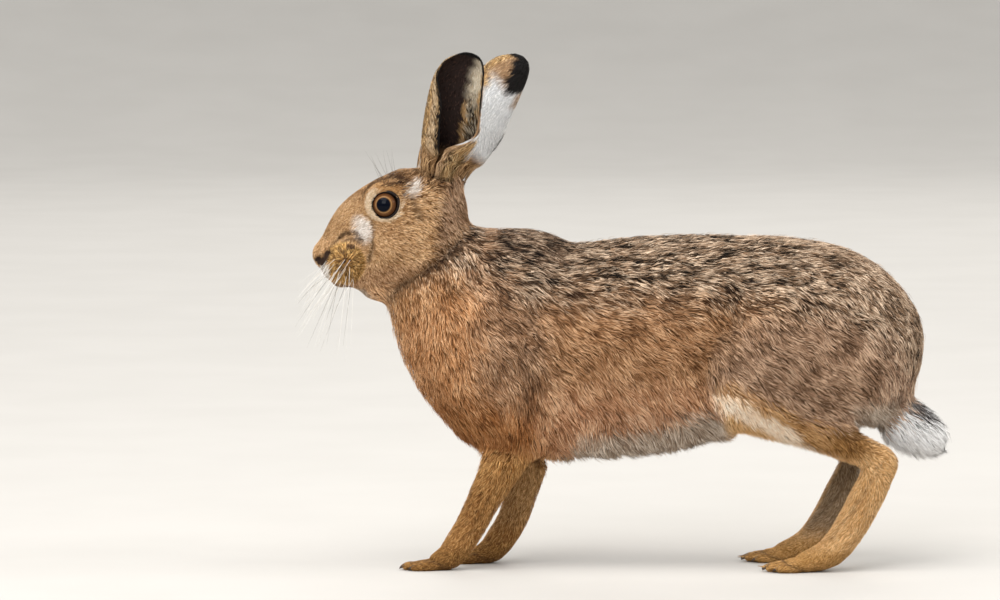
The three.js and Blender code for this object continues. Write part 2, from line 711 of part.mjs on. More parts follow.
const tailFlesh = fleshNear([[190, -35, 70], [300, 35, 180]]);
const tailField = (x, y, z) => Math.max(tailFlesh(x, y, z), past(tailSeam, 1)(x, y, z));
const TAIL_LINE = [
  [223.5, 0, 134.2],
  [233, 0, 127],
  [245, 0, 119.5],
  [256, 0, 113.5],
];
const tail = sleeve(tailField, TAIL_LINE, { rings: 5, sectors: 16, round: 4 });
add("tail", cut(tail, [before(tailSeam)]), COAT.tail);

// A toe is a short sleeve of its own, so that a crease is left between it and the next.
const TOE_FINENESS = { rings: 4, sectors: 8, round: 2, reach: 20 };
const toe = (made) => sleeve(toeLimb(made), [made.start, made.bend, made.tip], TOE_FINENESS).add(claw(made));
const withToes = (foot, digits) => digits.reduce((made, digit) => made.add(toe(digit)), foot);

for (const side of Object.keys(SIDES)) {
  const foreY = SIDES[side] * HALF_TRACK_FORE;
  const hindY = SIDES[side] * HALF_TRACK_HIND;
  const fore = FORE_REACH[side];
  const hind = HIND_REACH[side];
  const ownSide = (x, y) => -SIDES[side] * y;
  add(`shoulder_${side}`, cut(body, [inPatch(SHOULDER_PATCH, side), beyond(foreLegSeam)]), COAT.chest);
  const thighMuscle = cut(body, [inPatch(THIGH_PATCH, side), beyond(kneeSeam), beyond(tailSeam)]);
  add(`thigh_${side}`, thighMuscle, COAT.flank);

  const legFlesh = fleshNear([[-190, -70, 0], [-40, 70, 130]]);
  const pastChest = past(foreLegSeam, 1);
  const legField = (x, y, z) => Math.max(legFlesh(x, y, z), pastChest(x, y, z), ownSide(x, y));
  const legLine = [
    [-105.4 + fore * 0.5, foreY * 1.04, 101],
    [-107.5 + fore * 0.55, foreY * 1.02, 93],
    [-114 + fore * 0.7, foreY, 81],
    [-127 + fore * 0.9, foreY, 58],
    [-136 + fore, foreY, 40.5],
    [-145.5 + fore, foreY, 24],
  ];
  const leg = sleeve(legField, legLine, { rings: 11, sectors: 14, reach: 60 });
  const foreBox = sideBox(side, [-220, 0], [-20, 140]);
  const foreLegCuts = [before(foreLegSeam), behindElbow(-1), beyond(wristSeam(side)), foreBox];
  add(`foreleg_${side}`, cut(leg, foreLegCuts), COAT.leg);

  const pawLine = [
    [-142 + fore, foreY, 31],
    [-148 + fore, foreY, 20.5],
    [-155 + fore, foreY, 12],
    [-164 + fore, foreY, 8],
  ];
  const [forearm, hand] = [foreLeg(side), palm(side)];
  const pawField = (...p) => blend(forearm(...p), hand(...p), 4);
  const paw = sleeve(pawField, pawLine, { rings: 6, sectors: 12, round: 2, reach: 30 });
  add(`forepaw_${side}`, cut(withToes(paw, foreToes(side)), [before(wristSeam(side)), floor]), COAT.leg);

  const shankLine = [
    [94 + hind * 0.1, hindY * 1.055, 128.5],
    [112 + hind * 0.4, hindY * 1.045, 124],
    [133 + hind * 0.8, hindY * 1.03, 119.5],
    [157 + hind, hindY * 1.01, 114.5],
    [180 + hind, hindY, 109.5],
    [198 + hind, hindY, 104],
    [211 + hind, hindY, 99],
  ];
  const hock = past(hockSeam(side), -1);
  const shankFlesh = fleshNear([[60, -80, 60], [250, 80, 145]]);
  const pastThigh = past(kneeSeam, 1);
  const shankField = (x, y, z) =>
    Math.max(shankFlesh(x, y, z), pastThigh(x, y, z), hock(x, y, z), ownSide(x, y));
  const lowerLeg = sleeve(shankField, shankLine, { rings: 13, sectors: 14, round: 3, reach: 60 });
  const hindBox = sideBox(side, [60, 40], [250, 150]);
  const shankCuts = [before(kneeSeam), behindKnee(1), beyond(hockSeam(side)), hindBox];
  add(`shank_${side}`, cut(lowerLeg, shankCuts), COAT.leg);
  const footLine = [
    [208.2 + hind, hindY, 101.6],
    [210 + hind, hindY, 97],
    [208 + hind, hindY, 83],
    [200 + hind, hindY, 61],
    [188 + hind, hindY, 38],
    [172 + hind, hindY, 18],
    [153 + hind, hindY, 9],
  ];
  const [upper, lower, pastHock] = [shank(side), hindFoot(side), past(hockSeam(side), 1)];
  const footField = (...p) => Math.max(blend(upper(...p), lower(...p), 7), pastHock(...p));
  const foot = sleeve(footField, footLine, { rings: 13, sectors: 14, round: 2, reach: 40 });
  add(`hind_foot_${side}`, cut(withToes(foot, hindToes(side)), [before(hockSeam(side)), floor]), COAT.leg);
  add(`eye_${side}`, eyeball(side, EYE_RADIUS), COAT.iris, 0.1);
  add(`ear_${side}`, earPiece(side), COAT.ear);
}

// The origin is on the floor, in the middle of the hare's length and width.
const room = new THREE.Box3().setFromObject(hare);
const middle = room.getCenter(new THREE.Vector3());
hare.position.set(-middle.x, -middle.y, 0);
const model = new THREE.Group();
model.add(hare);
export default model;
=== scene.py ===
import math

import bmesh
import bpy
import numpy as np
from mathutils import Matrix, Vector
from mathutils.bvhtree import BVHTree
from mathutils.kdtree import KDTree


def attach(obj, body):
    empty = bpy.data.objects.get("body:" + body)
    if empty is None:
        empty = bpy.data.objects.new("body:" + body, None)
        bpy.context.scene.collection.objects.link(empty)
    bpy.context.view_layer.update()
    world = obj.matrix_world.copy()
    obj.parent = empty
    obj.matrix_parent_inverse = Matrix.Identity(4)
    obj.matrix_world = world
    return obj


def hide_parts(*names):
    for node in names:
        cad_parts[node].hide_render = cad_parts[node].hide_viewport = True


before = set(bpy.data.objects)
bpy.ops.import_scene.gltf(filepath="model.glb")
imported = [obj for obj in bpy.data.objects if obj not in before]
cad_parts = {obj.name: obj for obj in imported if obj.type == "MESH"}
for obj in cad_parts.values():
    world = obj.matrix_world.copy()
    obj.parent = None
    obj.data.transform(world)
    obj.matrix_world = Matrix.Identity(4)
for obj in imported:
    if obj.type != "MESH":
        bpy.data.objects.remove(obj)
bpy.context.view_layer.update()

scene = bpy.context.scene

# The skin of body, head, legs and tail. It is one surface: the solids of flesh, each a hair larger so that
# they run together, made into one fine mesh, smoothed, and drawn in by the depth of the coat that lies on it.
MM = 0.001
SKIN_FINENESS = 1.42  # mm between neighbouring points
SWELL = 0.6  # mm that each solid is made larger
SMOOTHING = 0.6  # how far a point goes to the middle of its neighbours each time
SMOOTHINGS = 16
JOIN_SMOOTHINGS = 40
OWN_FORM = {"head": 0.86, "leg": 0.7, "foot": 0.93}  # how much of the smoothing each part is spared
BARE_NODES = ("eye_left", "eye_right", "ear_left", "ear_right")
SIDES = {"left": -1, "right": 1}
EYE_CENTRE = {side: Vector((-210.38, 18.5 * sign, 313.3)) for side, sign in SIDES.items()}
FORE_STEP = 36  # how far the right forepaw stands behind the left
HIND_STEP = -15
# lines on the left legs through places [x, z]: where the trunk ends, between the sinews, and between the toes
LEG_JOINS = [((-126, 104), (-70, 88)), ((95, 127), (204, 123))]
LEG_GROOVES = [((212, 93), (193, 60), (172, 30)), ((-104, 92), (-121, 60), (-136, 32))]
TOE_CREASES = [((-188, 6.5), (-171, 9.5), (-154, 2)), ((112, 6), (128, 10), (147, 3))]


def ramp(value, start, end):
    """0 up to start and 1 from end on, with a soft step between; start may be over end."""
    share = np.clip((value - start) / (end - start), 0, 1)
    return share * share * (3 - 2 * share)


def oval(p, x, z, long, high, tip=0.0, soft=0.5):
    """1 inside an oval seen from the side and 0 outside it; tip lowers its rear end, in degrees."""
    turn = math.radians(tip)
    along = (p[:, 0] - x) * math.cos(turn) - (p[:, 2] - z) * math.sin(turn)
    across = (p[:, 0] - x) * math.sin(turn) + (p[:, 2] - z) * math.cos(turn)
    return ramp(np.hypot(along / long, across / high), 1 + soft / 2, 1 - soft / 2)


def left_of(p, start, end):
    """How many mm points lie to the left of the way from start to end, [x, z] in the side view."""
    dx, dz = end[0] - start[0], end[1] - start[1]
    return ((p[:, 2] - start[1]) * dx - (p[:, 0] - start[0]) * dz) / math.hypot(dx, dz)


def above(p, *line):
    """How many mm points lie above a line through places [x, z], given from the front to the rear."""
    return p[:, 2] - np.interp(p[:, 0], [place[0] for place in line], [place[1] for place in line])


def beside(p, *line):
    """How many mm points are from a bent line through places [x, z], in the side view."""
    nearest = np.full(len(p), 1e9)
    flat = p[:, [0, 2]]
    for start, end in zip(np.array(line[:-1], float), np.array(line[1:], float)):
        way = end - start
        share = np.clip((flat - start) @ way / (way @ way), 0, 1)
        nearest = np.minimum(nearest, np.linalg.norm(flat - start - share[:, None] * way, axis=1))
    return nearest


def on_line(p, line, reach, full):
    """1 within full mm of a bent line and 0 from reach mm on, in the side view."""
    return ramp(beside(p, *line), reach, full)


def unit(v):
    """Rows of numbers, each made a length of 1."""
    return v / np.maximum(np.linalg.norm(v, axis=1), 1e-9)[:, None]


def places(mesh):
    """The points of a mesh, in mm."""
    co = np.empty(len(mesh.vertices) * 3, np.float32)
    mesh.vertices.foreach_get("co", co)
    return co.reshape(-1, 3).astype(float) / MM


def ways_out(mesh):
    """The normals at the points of a mesh."""
    way = np.empty(len(mesh.vertices) * 3, np.float32)
    mesh.vertices.foreach_get("normal", way)
    return way.reshape(-1, 3).astype(float)


def set_places(mesh, p):
    """Moves the points of a mesh to places in mm."""
    mesh.vertices.foreach_set("co", (p * MM).astype(np.float32).ravel())
    mesh.update()


def in_head(p):
    return ramp(left_of(p, (-212, 228), (-138.6, 303.6)), -7, 7)


def under_rump(p):
    """How many mm points lie above the edge between the rump and the tail with the fur beside it."""
    return above(p, (190, 100), (206, 112), (224, 131), (238, 147), (275, 158))


def in_tail(p):
    return ramp(under_rump(p), 3, -3) * ramp(np.abs(p[:, 1]), 23, 18) * ramp(p[:, 0], 196, 203)


def fore_step(p):
    """How far the right foreleg stands behind the left one; the two meet at the shoulder."""
    return FORE_STEP * ramp(p[:, 2], 130, 50) * (p[:, 1] > 0)


def in_foreleg(p):
    return ramp(p[:, 2], 118, 96) * ramp(p[:, 0] - fore_step(p), -64, -76)


def in_hind_leg(p):
    edge = above(p, (60, 146), (98, 148), (122, 143), (140, 129), (204, 121), (232, 108))
    return ramp(edge, 5, -5) * ramp(p[:, 0], 72, 84) * (1 - in_tail(p))


def stepped(p):
    """The same places with the right legs drawn back to where the left ones stand."""
    moved = p.copy()
    moved[:, 0] -= fore_step(p) * (p[:, 0] < 40) + HIND_STEP * in_hind_leg(p) * (p[:, 1] > 0)
    return moved


def in_foot(p):
    return ramp(p[:, 2], 34, 16)


def coat_depth(p):
    """How deep the coat lies over the skin, in mm."""
    depth = 6.0 + 2.0 * ramp(p[:, 2], 150, 112)
    depth += (0.9 + 2.7 * ramp(p[:, 0], -240, -185) - depth) * in_head(p)
    depth += (1.5 + 2.8 * ramp(p[:, 2], 45, 110) - depth) * in_foreleg(p)
    depth += (1.6 + 2.2 * ramp(p[:, 2], 80, 125) - depth) * in_hind_leg(p)
    depth += (1.0 - depth) * in_foot(p)
    return depth + (7.0 - depth) * in_tail(p)


def neighbours_mean(mesh, p, strength, times):
    """Draws each point towards the middle of its neighbours, as far as its strength says."""
    edges = np.empty(len(mesh.edges) * 2, np.int32)
    mesh.edges.foreach_get("vertices", edges)
    a, b = edges.reshape(-1, 2).T
    count = np.bincount(a, minlength=len(p)) + np.bincount(b, minlength=len(p))
    for _ in range(times):
        for axis in range(3):
            line = p[:, axis]
            near = np.bincount(a, line[b], len(p)) + np.bincount(b, line[a], len(p))
            p[:, axis] = line + (near / count - line) * strength
    return p


def joined_flesh():
    """The solids of flesh, each a hair larger, in one mesh."""
    whole = bmesh.new()
    for name in flesh_nodes:
        piece = bmesh.new()
        piece.from_mesh(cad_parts[name].data)
        bmesh.ops.remove_doubles(piece, verts=piece.verts, dist=0.01 * MM)
        piece.normal_update()
        for v in piece.verts:
            v.co += v.normal * SWELL * MM
        part = bpy.data.meshes.new("part")
        piece.to_mesh(part)
        piece.free()
        whole.from_mesh(part)
        bpy.data.meshes.remove(part)
    mesh = bpy.data.meshes.new("flesh")
    whole.to_mesh(mesh)
    whole.free()
    return mesh


flesh_nodes = sorted(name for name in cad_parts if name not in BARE_NODES)
flesh = bpy.data.objects.new("flesh", joined_flesh())
scene.collection.objects.link(flesh)
remesh = flesh.modifiers.new("one surface", "REMESH")
remesh.mode = "VOXEL"
remesh.voxel_size = SKIN_FINENESS * MM
remesh.use_smooth_shade = True
body_skin = bpy.data.meshes.new_from_object(flesh.evaluated_get(bpy.context.evaluated_depsgraph_get()))
bpy.data.objects.remove(flesh)

p = places(body_skin)
legs = OWN_FORM["leg"] * np.maximum(in_foreleg(p), in_hind_leg(p))
kept = np.maximum.reduce([OWN_FORM["head"] * in_head(p), legs, OWN_FORM["foot"] * in_foot(p)])
p = neighbours_mean(body_skin, p, SMOOTHING * (1 - kept), SMOOTHINGS)
joins = np.maximum.reduce([on_line(stepped(p), join, 13, 5) for join in LEG_JOINS])
p = neighbours_mean(body_skin, p, SMOOTHING * joins, JOIN_SMOOTHINGS)
set_places(body_skin, p)
p -= ways_out(body_skin) * coat_depth(p)[:, None]
p = neighbours_mean(body_skin, p, 0.5, 3)
set_places(body_skin, p)

# The finer form of the body, where muscle and bone show through the skin: a furrow behind the shoulder, the
# fold between flank and thigh, grooves between the sinews of the legs, and creases between the toes.
SHOULDER_FURROW = [(-87, 238), (-83, 214), (-95, 191), (-90, 162), (-84, 140)]
FLANK_FOLD = [(90, 240), (84, 215), (66, 193), (61, 172), (66, 156)]
furrow = 4.5 * on_line(p, SHOULDER_FURROW, 10, 1) + 4.0 * on_line(p, FLANK_FOLD, 11, 1)
for groove in LEG_GROOVES:
    furrow += 1.6 * on_line(stepped(p), groove, 4, 0.8) * (p[:, 2] < 110)
for crease in TOE_CREASES:
    furrow += 0.8 * on_line(stepped(p), crease, 1.8, 0.4) * (p[:, 2] < 20)
bulge = 1.5 * oval(p, -112, 205, 26, 30, soft=1.2) + 0.6 * oval(p, 118, 195, 36, 34, soft=1.2)
p += ways_out(body_skin) * ((bulge - furrow) * (1 - in_head(p)) * ramp(np.abs(p[:, 1]), 8, 20))[:, None]
set_places(body_skin, p)

# The finer form of the head: the pads of the upper lip stand out between creases, the nostrils are slits
# beside the tip of the nose, a fold parts the cheek from the neck, and the sockets are open for the eyeballs.
EYE_RADIUS = 11.5
EYE_ROOM = 1.2  # how far the skin of the socket lies under the eyeball
EYE_FORWARD = 12  # how far the eyes look ahead of sideways, and up, in degrees
EYE_RAISED = 6
LID_SLANT = 28  # the rear corner of the eye is higher than the front one
LID_STRETCH = 1.07
LID_RING = 11.3
NOSTRIL = [(-269, 265.5), (-265.5, 262), (-262.5, 267), (-260, 271.5)]
NOSTRIL_CREASE = [(-260, 271.5), (-256.5, 277), (-251, 284)]
PAD_RIM = [(-251, 284), (-242, 285), (-232, 280), (-228.5, 270), (-229, 258), (-236, 249)]
TEAR_TROUGH_CREASE = [(-224.5, 300), (-223.5, 290), (-223, 277), (-226, 266)]
MOUTH_LINE = [(-268, 257), (-262.5, 250), (-257.5, 246.8), (-242, 243)]
CHEEK_FOLD = [(-149, 281), (-165, 266), (-182.5, 254), (-197, 245), (-210, 238)]
PAD_MIDDLE = (-246.5, 263)
SPECKLE_MIDDLE = (-245.3, 265.7)
OUTER_ARC = [(-251, 284), (-246, 289), (-238, 288), (-233, 282)]  # dark hairs over the pad
INNER_ARC = [(-248, 280), (-242, 283), (-236, 280)]


def eye_ways(sign):
    """Where an eye looks, its long way from the front corner to the rear one, and its short way, upwards."""
    forward, raised = math.radians(EYE_FORWARD), math.radians(EYE_RAISED)
    facing = Vector((-math.sin(forward), sign * math.cos(forward), math.sin(raised))).normalized()
    slant = math.radians(LID_SLANT)
    long = Vector((math.cos(slant), 0, math.sin(slant)))
    long = (long - facing * long.dot(facing)).normalized()
    return facing, long, facing.cross(long) * -sign


def eye_place(p, side, sign):
    """Places beside an eye: how far out along its sight, and how far off it as a share of the lids' ring."""
    facing, long, short = (np.array(way) for way in eye_ways(sign))
    off = p - np.array(EYE_CENTRE[side])
    return off @ facing, np.hypot(off @ long / LID_STRETCH, off @ short) / LID_RING, off


head = in_head(p)
near_nose = ramp(np.abs(p[:, 1]), 1.0, 3.0)
rise = 4.2 * oval(p, *PAD_MIDDLE, 14, 14, soft=1.2) - 2.0 * on_line(p, PAD_RIM, 4, 0.8)
rise -= 1.5 * on_line(p, NOSTRIL_CREASE, 2.4, 0.6) * near_nose
rise -= 2.6 * on_line(p, NOSTRIL, 3.0, 1.0) * near_nose
rise -= 1.2 * on_line(p, MOUTH_LINE, 1.8, 0.4)
rise -= 0.7 * on_line(p, TEAR_TROUGH_CREASE, 3.5, 0.5)
rise -= 3.0 * oval(p, -240, 235, 9, 7, tip=30, soft=1.2)  # the hollow of the throat
fold = 5.0 * on_line(p, CHEEK_FOLD, 8, 1) * ramp(np.abs(p[:, 1]), 3, 14)
p += ways_out(body_skin) * (rise * head - fold)[:, None]
p = neighbours_mean(body_skin, p, 0.4 * head, 2)
for side, sign in SIDES.items():
    out, ring, off = eye_place(p, side, sign)
    facing = np.array(eye_ways(sign)[0])
    front = (out > -6) & (off[:, 1] * sign > -14)
    near = front & (ring < 1.9)
    swell = ramp(ring, 1.75, 1.2) * ramp(ring, 0.9, 1.1) * 0.9
    p[near] += facing * swell[near, None]
    out, ring, off = eye_place(p, side, sign)
    under = np.sqrt(np.maximum(EYE_RADIUS**2 - (ring * LID_RING) ** 2, 0)) - EYE_ROOM
    deep = front & (ring < 0.97) & (out > under)
    p[deep] += facing * (under - out)[deep, None]
set_places(body_skin, p)

# The ears: a thin leaf of gristle with skin on both faces, rolled into a tube at the root and open towards
# the side above it, its front edge curled over until near the tip. They are part of the same skin.
EAR_WIDTH = 49
EAR_GAP = 0.3
EAR_CUP = 13  # how deep the cup is, and how deep at the root
EAR_ROOT_CUP = 12
EARS = {
    "left": {"root": (-163.98, -15, 341), "tip": (-138.48, -56, 446), "turn": 10, "side": -1},
    "right": {"root": (-154.98, 15, 339), "tip": (-93.98, 34, 440), "turn": 30, "side": 1},
}
EAR_COLUMNS = 44
EAR_ROWS = 60
EAR_PILE = 0.3  # how far the skin of the ear lies under its short fur
# how far up the ear, how wide there as a share of its widest, and how far its middle leans to the rear
EAR_LEAF = np.array([
    (0, 0.63, -2.6), (0.1, 0.68, -3), (0.17, 0.87, 0), (0.28, 0.95, 0), (0.4, 1, 0), (0.52, 0.985, -1.2),
    (0.65, 0.94, -2.4), (0.77, 0.87, -2.8), (0.88, 0.72, -1.4), (0.945, 0.51, 1), (0.985, 0.29, 2.2),
    (1, 0.07, 2.6),
])
LEAF_TENSION = 0.4


def leaf_at(v):
    """The row of the leaf at a share v of its outline, on a smooth curve through the rows."""
    rows = np.vstack([2 * EAR_LEAF[0] - EAR_LEAF[1], EAR_LEAF, 2 * EAR_LEAF[-1] - EAR_LEAF[-2]])
    place = np.clip(v, 0, 1) * (len(EAR_LEAF) - 1)
    first = np.minimum(place.astype(int), len(EAR_LEAF) - 2)
    t = (place - first)[:, None]
    a, b, c, d = (rows[first + i] for i in range(4))
    start = LEAF_TENSION * (c - a)
    end = LEAF_TENSION * (d - b)
    return b + start * t + (3 * (c - b) - 2 * start - end) * t**2 + (2 * (b - c) + start + end) * t**3


def ear_wall(v):
    """How thick the ear is, in mm."""
    return 2.85 - 1.71 * ramp(v, 0, 0.8)


def ear_angle(along, u):
    """The angle round the cup, from the front edge at u = 0 to the rear edge at u = 1."""
    front = -176 + 18 * ramp(along, 0, 0.55) + 62 * ramp(along, 0.55, 0.95)
    back = 178 - 84 * ramp(along, 0.22, 0.44)
    return np.radians(front + (back - front) * u)


def ear_point(ear, u, v, inward):
    """A place on the ear: u round it, v up it, and so many mm in from its outer face."""
    root, tip = Vector(ear["root"]), Vector(ear["tip"])
    up = tip - root
    length = up.length
    up.normalize()
    turn = math.radians(ear["turn"])
    out = Vector((-math.sin(turn), ear["side"] * math.cos(turn), 0))
    out = (out - up * out.dot(up)).normalized()
    rear = out.cross(up) * ear["side"]
    along, width, lean = leaf_at(v).T
    half = EAR_WIDTH / 2 * width - inward
    deep = EAR_ROOT_CUP + (EAR_CUP - EAR_ROOT_CUP) * ramp(along, 0, 0.3)
    cup = deep * np.minimum(1, width * 1.2) - inward
    angle = ear_angle(along, u)
    rise = EAR_GAP / 2 + along * (length - EAR_GAP)
    back = np.sin(angle) * half + lean
    side = 2 * ramp(along, 0, 0.4) - np.cos(angle) * cup
    ways = np.array([up, rear, out])
    return np.array(root) + np.column_stack([rise, back, side]) @ ways


def ear_leaf(ear):
    """The points, faces and (u, v, inner, side) of one ear, closed round its rim."""
    u, v = np.meshgrid(np.linspace(0, 1, EAR_COLUMNS + 1), np.linspace(0, 1, EAR_ROWS + 1))
    u, v = u.ravel(), v.ravel()
    outer = ear_point(ear, u, v, np.full(len(u), EAR_PILE))
    inner = ear_point(ear, u, v, ear_wall(v) - EAR_PILE)
    layer = len(u)
    faces = []
    for j in range(EAR_ROWS):
        for i in range(EAR_COLUMNS):
            corner = j * (EAR_COLUMNS + 1) + i
            ring = [corner, corner + 1, corner + EAR_COLUMNS + 2, corner + EAR_COLUMNS + 1]
            faces.append(ring)
            faces.append([k + layer for k in reversed(ring)])
    rim = list(range(EAR_COLUMNS))
    rim += [EAR_COLUMNS + j * (EAR_COLUMNS + 1) for j in range(EAR_ROWS)]
    rim += [layer - 1 - i for i in range(EAR_COLUMNS)]
    rim += [(EAR_ROWS - j) * (EAR_COLUMNS + 1) for j in range(EAR_ROWS)]
    for a, b in zip(rim, rim[1:] + rim[:1]):
        faces.append([b, a, a + layer, b + layer])
    side = np.full(layer * 2, 0 if ear["side"] < 0 else 1)
    where = np.column_stack([np.tile(u, 2), np.tile(v, 2), np.repeat([0, 1], layer), side])
    return np.vstack([outer, inner]), faces, where


hare = bmesh.new()
hare.from_mesh(body_skin)
on_ear = [np.full((len(body_skin.vertices), 4), -1.0)]
for ear in EARS.values():
    points, faces, where = ear_leaf(ear)
    made = [hare.verts.new(Vector(point) * MM) for point in points]
    new = [hare.faces.new([made[k] for k in face]) for face in faces]
    bmesh.ops.recalc_face_normals(hare, faces=new)
    on_ear.append(where)
on_ear = np.vstack(on_ear)
for face in hare.faces:
    face.smooth = True
skin_mesh = bpy.data.meshes.new("skin")
hare.to_mesh(skin_mesh)
hare.free()
skin = bpy.data.objects.new("skin", skin_mesh)
scene.collection.objects.link(skin)
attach(skin, "root")
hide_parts(*flesh_nodes, "ear_left", "ear_right")

# The markings of skin and coat: a grizzled back of black and buff, rusty flanks, neck and chest, gold legs, a
# white belly, a tail black above and white below, white marks on the face, and black tips to the ears.
# Painted shade darkens the folds, creases and grooves, the nostrils, the hollow of the ears, the inner hind
# legs, the skin between the tufts and the roots of the tufts.


def paint(*rgb):
    """A colour as light, from its three screen values of 0 to 255, or several of them."""
    value = np.array(rgb, float) / 255
    return np.where(value < 0.04045, value / 12.92, ((value + 0.055) / 1.055) ** 2.4)


# the screen values of each coat: of its darkest tufts, of its mean and of its lightest ones
COATS = {
    "flank": ((78, 47, 23), (164, 118, 80), (224, 180, 138)),
    "low flank": ((112, 70, 40), (194, 140, 102), (238, 196, 158)),
    "back": ((14, 8, 4), (150, 119, 92), (244, 218, 190)),
    "withers": ((10, 6, 4), (112, 86, 66), (206, 180, 154)),
    "rump": ((56, 38, 26), (176, 140, 114), (236, 206, 178)),
    "thigh": ((58, 38, 23), (150, 116, 90), (216, 182, 152)),
    "shoulder": ((52, 30, 16), (152, 112, 80), (220, 182, 148)),
    "chest": ((108, 66, 32), (200, 142, 94), (240, 192, 146)),
    "brisket": ((84, 46, 18), (154, 98, 54), (206, 152, 102)),
    "neck": ((84, 50, 24), (198, 144, 96), (248, 204, 158)),
    "nape": ((50, 30, 15), (146, 108, 78), (208, 174, 142)),
    "belly": ((116, 94, 76), (172, 152, 132), (236, 222, 206)),
    "foreleg": ((56, 30, 9), (152, 101, 51), (232, 182, 118)),
    "forepaw": ((56, 32, 10), (136, 93, 46), (212, 162, 98)),
    "cream": ((210, 172, 134), (255, 226, 194), (255, 246, 228)),
    "shank": ((46, 24, 7), (124, 83, 41), (204, 154, 94)),
    "gold": ((104, 64, 26), (222, 168, 106), (255, 218, 166)),
    "toes": ((84, 50, 18), (190, 140, 78), (240, 192, 128)),
    "inner leg": ((90, 60, 30), (186, 142, 92), (232, 192, 142)),
    # the grey of the inner hind legs, darkened as painted shade between the legs
    "inner hind leg in shade": ((70, 56, 42), (140, 118, 94), (190, 168, 142)),
    "tail top": ((22, 20, 20), (52, 47, 46), (104, 96, 92)),
    "tail white": ((206, 204, 202), (242, 241, 240), (255, 255, 255)),
    "cheek": ((84, 50, 22), (206, 158, 108), (250, 212, 166)),
    "jaw": ((88, 52, 26), (182, 136, 95), (232, 192, 150)),
    "pad": ((40, 20, 4), (178, 126, 62), (240, 196, 128)),
    "bridge": ((104, 68, 38), (200, 154, 104), (240, 204, 160)),
    "crown": ((36, 20, 8), (140, 98, 60), (222, 180, 134)),
    "chin": ((112, 92, 76), (170, 150, 130), (212, 196, 180)),
    "face white": ((186, 168, 150), (220, 208, 196), (244, 238, 232)),
    "eye ring": ((190, 154, 112), (236, 208, 172), (248, 232, 208)),
    "orange": ((120, 76, 38), (196, 146, 92), (236, 194, 142)),
    # the coat's own dark marks, and painted shade in furrows, folds, creases, grooves and nostrils
    "dark mark and shade": ((26, 16, 12), (60, 40, 28), (104, 76, 54)),
    "ear gold": ((40, 24, 12), (204, 160, 106), (252, 220, 168)),
    # painted shade: the dark of the hollow inside the ear
    "ear cup shade": ((22, 14, 12), (46, 31, 27), (76, 56, 48)),
    "ear cream": ((196, 168, 134), (250, 234, 206), (255, 250, 236)),
    "ear speckle": ((12, 8, 5), (64, 46, 28), (196, 158, 106)),
    "ear black": ((7, 5, 5), (15, 12, 12), (34, 29, 28)),
    "ear white": ((206, 208, 212), (248, 250, 252), (255, 255, 255)),
    "ear orange": ((104, 70, 42), (174, 138, 102), (212, 178, 140)),
    "ear root": ((50, 30, 14), (154, 116, 76), (216, 176, 130)),
}


def waves(p, size, seed, count=14):
    """A soft random field with a spread of 1, whose swells are about size mm long."""
    draw = np.random.default_rng(seed)
    ways = unit(draw.normal(size=(count, 3)))
    ways *= 2 * math.pi / size * draw.uniform(0.6, 1.5, (count, 1))
    return np.sin(p @ ways.T + draw.uniform(0, 2 * math.pi, count)).sum(axis=1) * math.sqrt(2 / count)


def dyed(coat, layers):
    """A coat's three colours for every point, with further coats laid over it by their masks."""
    base = np.repeat(paint(*COATS[coat])[None], len(layers[0][1]), axis=0)
    for name, mask in layers:
        base += (paint(*COATS[name]) - base) * np.clip(mask, 0, 1)[:, None, None]
    return base


def inner_side(p, n):
    """1 where the skin faces the middle plane of the body."""
    return ramp(-n[:, 1] * np.sign(p[:, 1]), 0.25, 0.7)


# the edges and the lines of the markings and of painted shade, through places [x, z] of the left side
BACK_EDGE = [(-130, 262), (-90, 236), (60, 232), (150, 226), (205, 205), (262, 150)]
BELLY_EDGE = [(-60, 106), (-52, 113), (31, 129), (64, 143)]
TAIL_EDGE = [(222, 146), (228, 139), (236, 134.5), (250, 131), (268, 126)]
THIGH_SHADE = [(112, 149), (134, 138), (162, 127), (188, 117)]
KNEE_GOLD = [(78, 160), (104, 147), (132, 130), (160, 118)]
KNEE_CREAM = [(74, 152), (86, 146), (104, 136), (120, 126), (134, 117)]
SHANK_CREAM = [(134, 114), (152, 105), (172, 97)]
JAW_EDGE = [(-260, 250), (-225, 262), (-190, 266), (-150, 280)]
CROWN_EDGE = [(-262, 284), (-236, 306), (-200, 330), (-140, 318)]
CHIN_EDGE = [(-268, 250), (-250, 245), (-228, 243)]
BROW_MARK = [(-209, 336.5), (-203, 336), (-195, 332)]
BROW_LINE = [(-214, 330), (-200, 330.5)]
TEMPLE_MARK = [(-197, 325), (-189, 315), (-184, 303)]


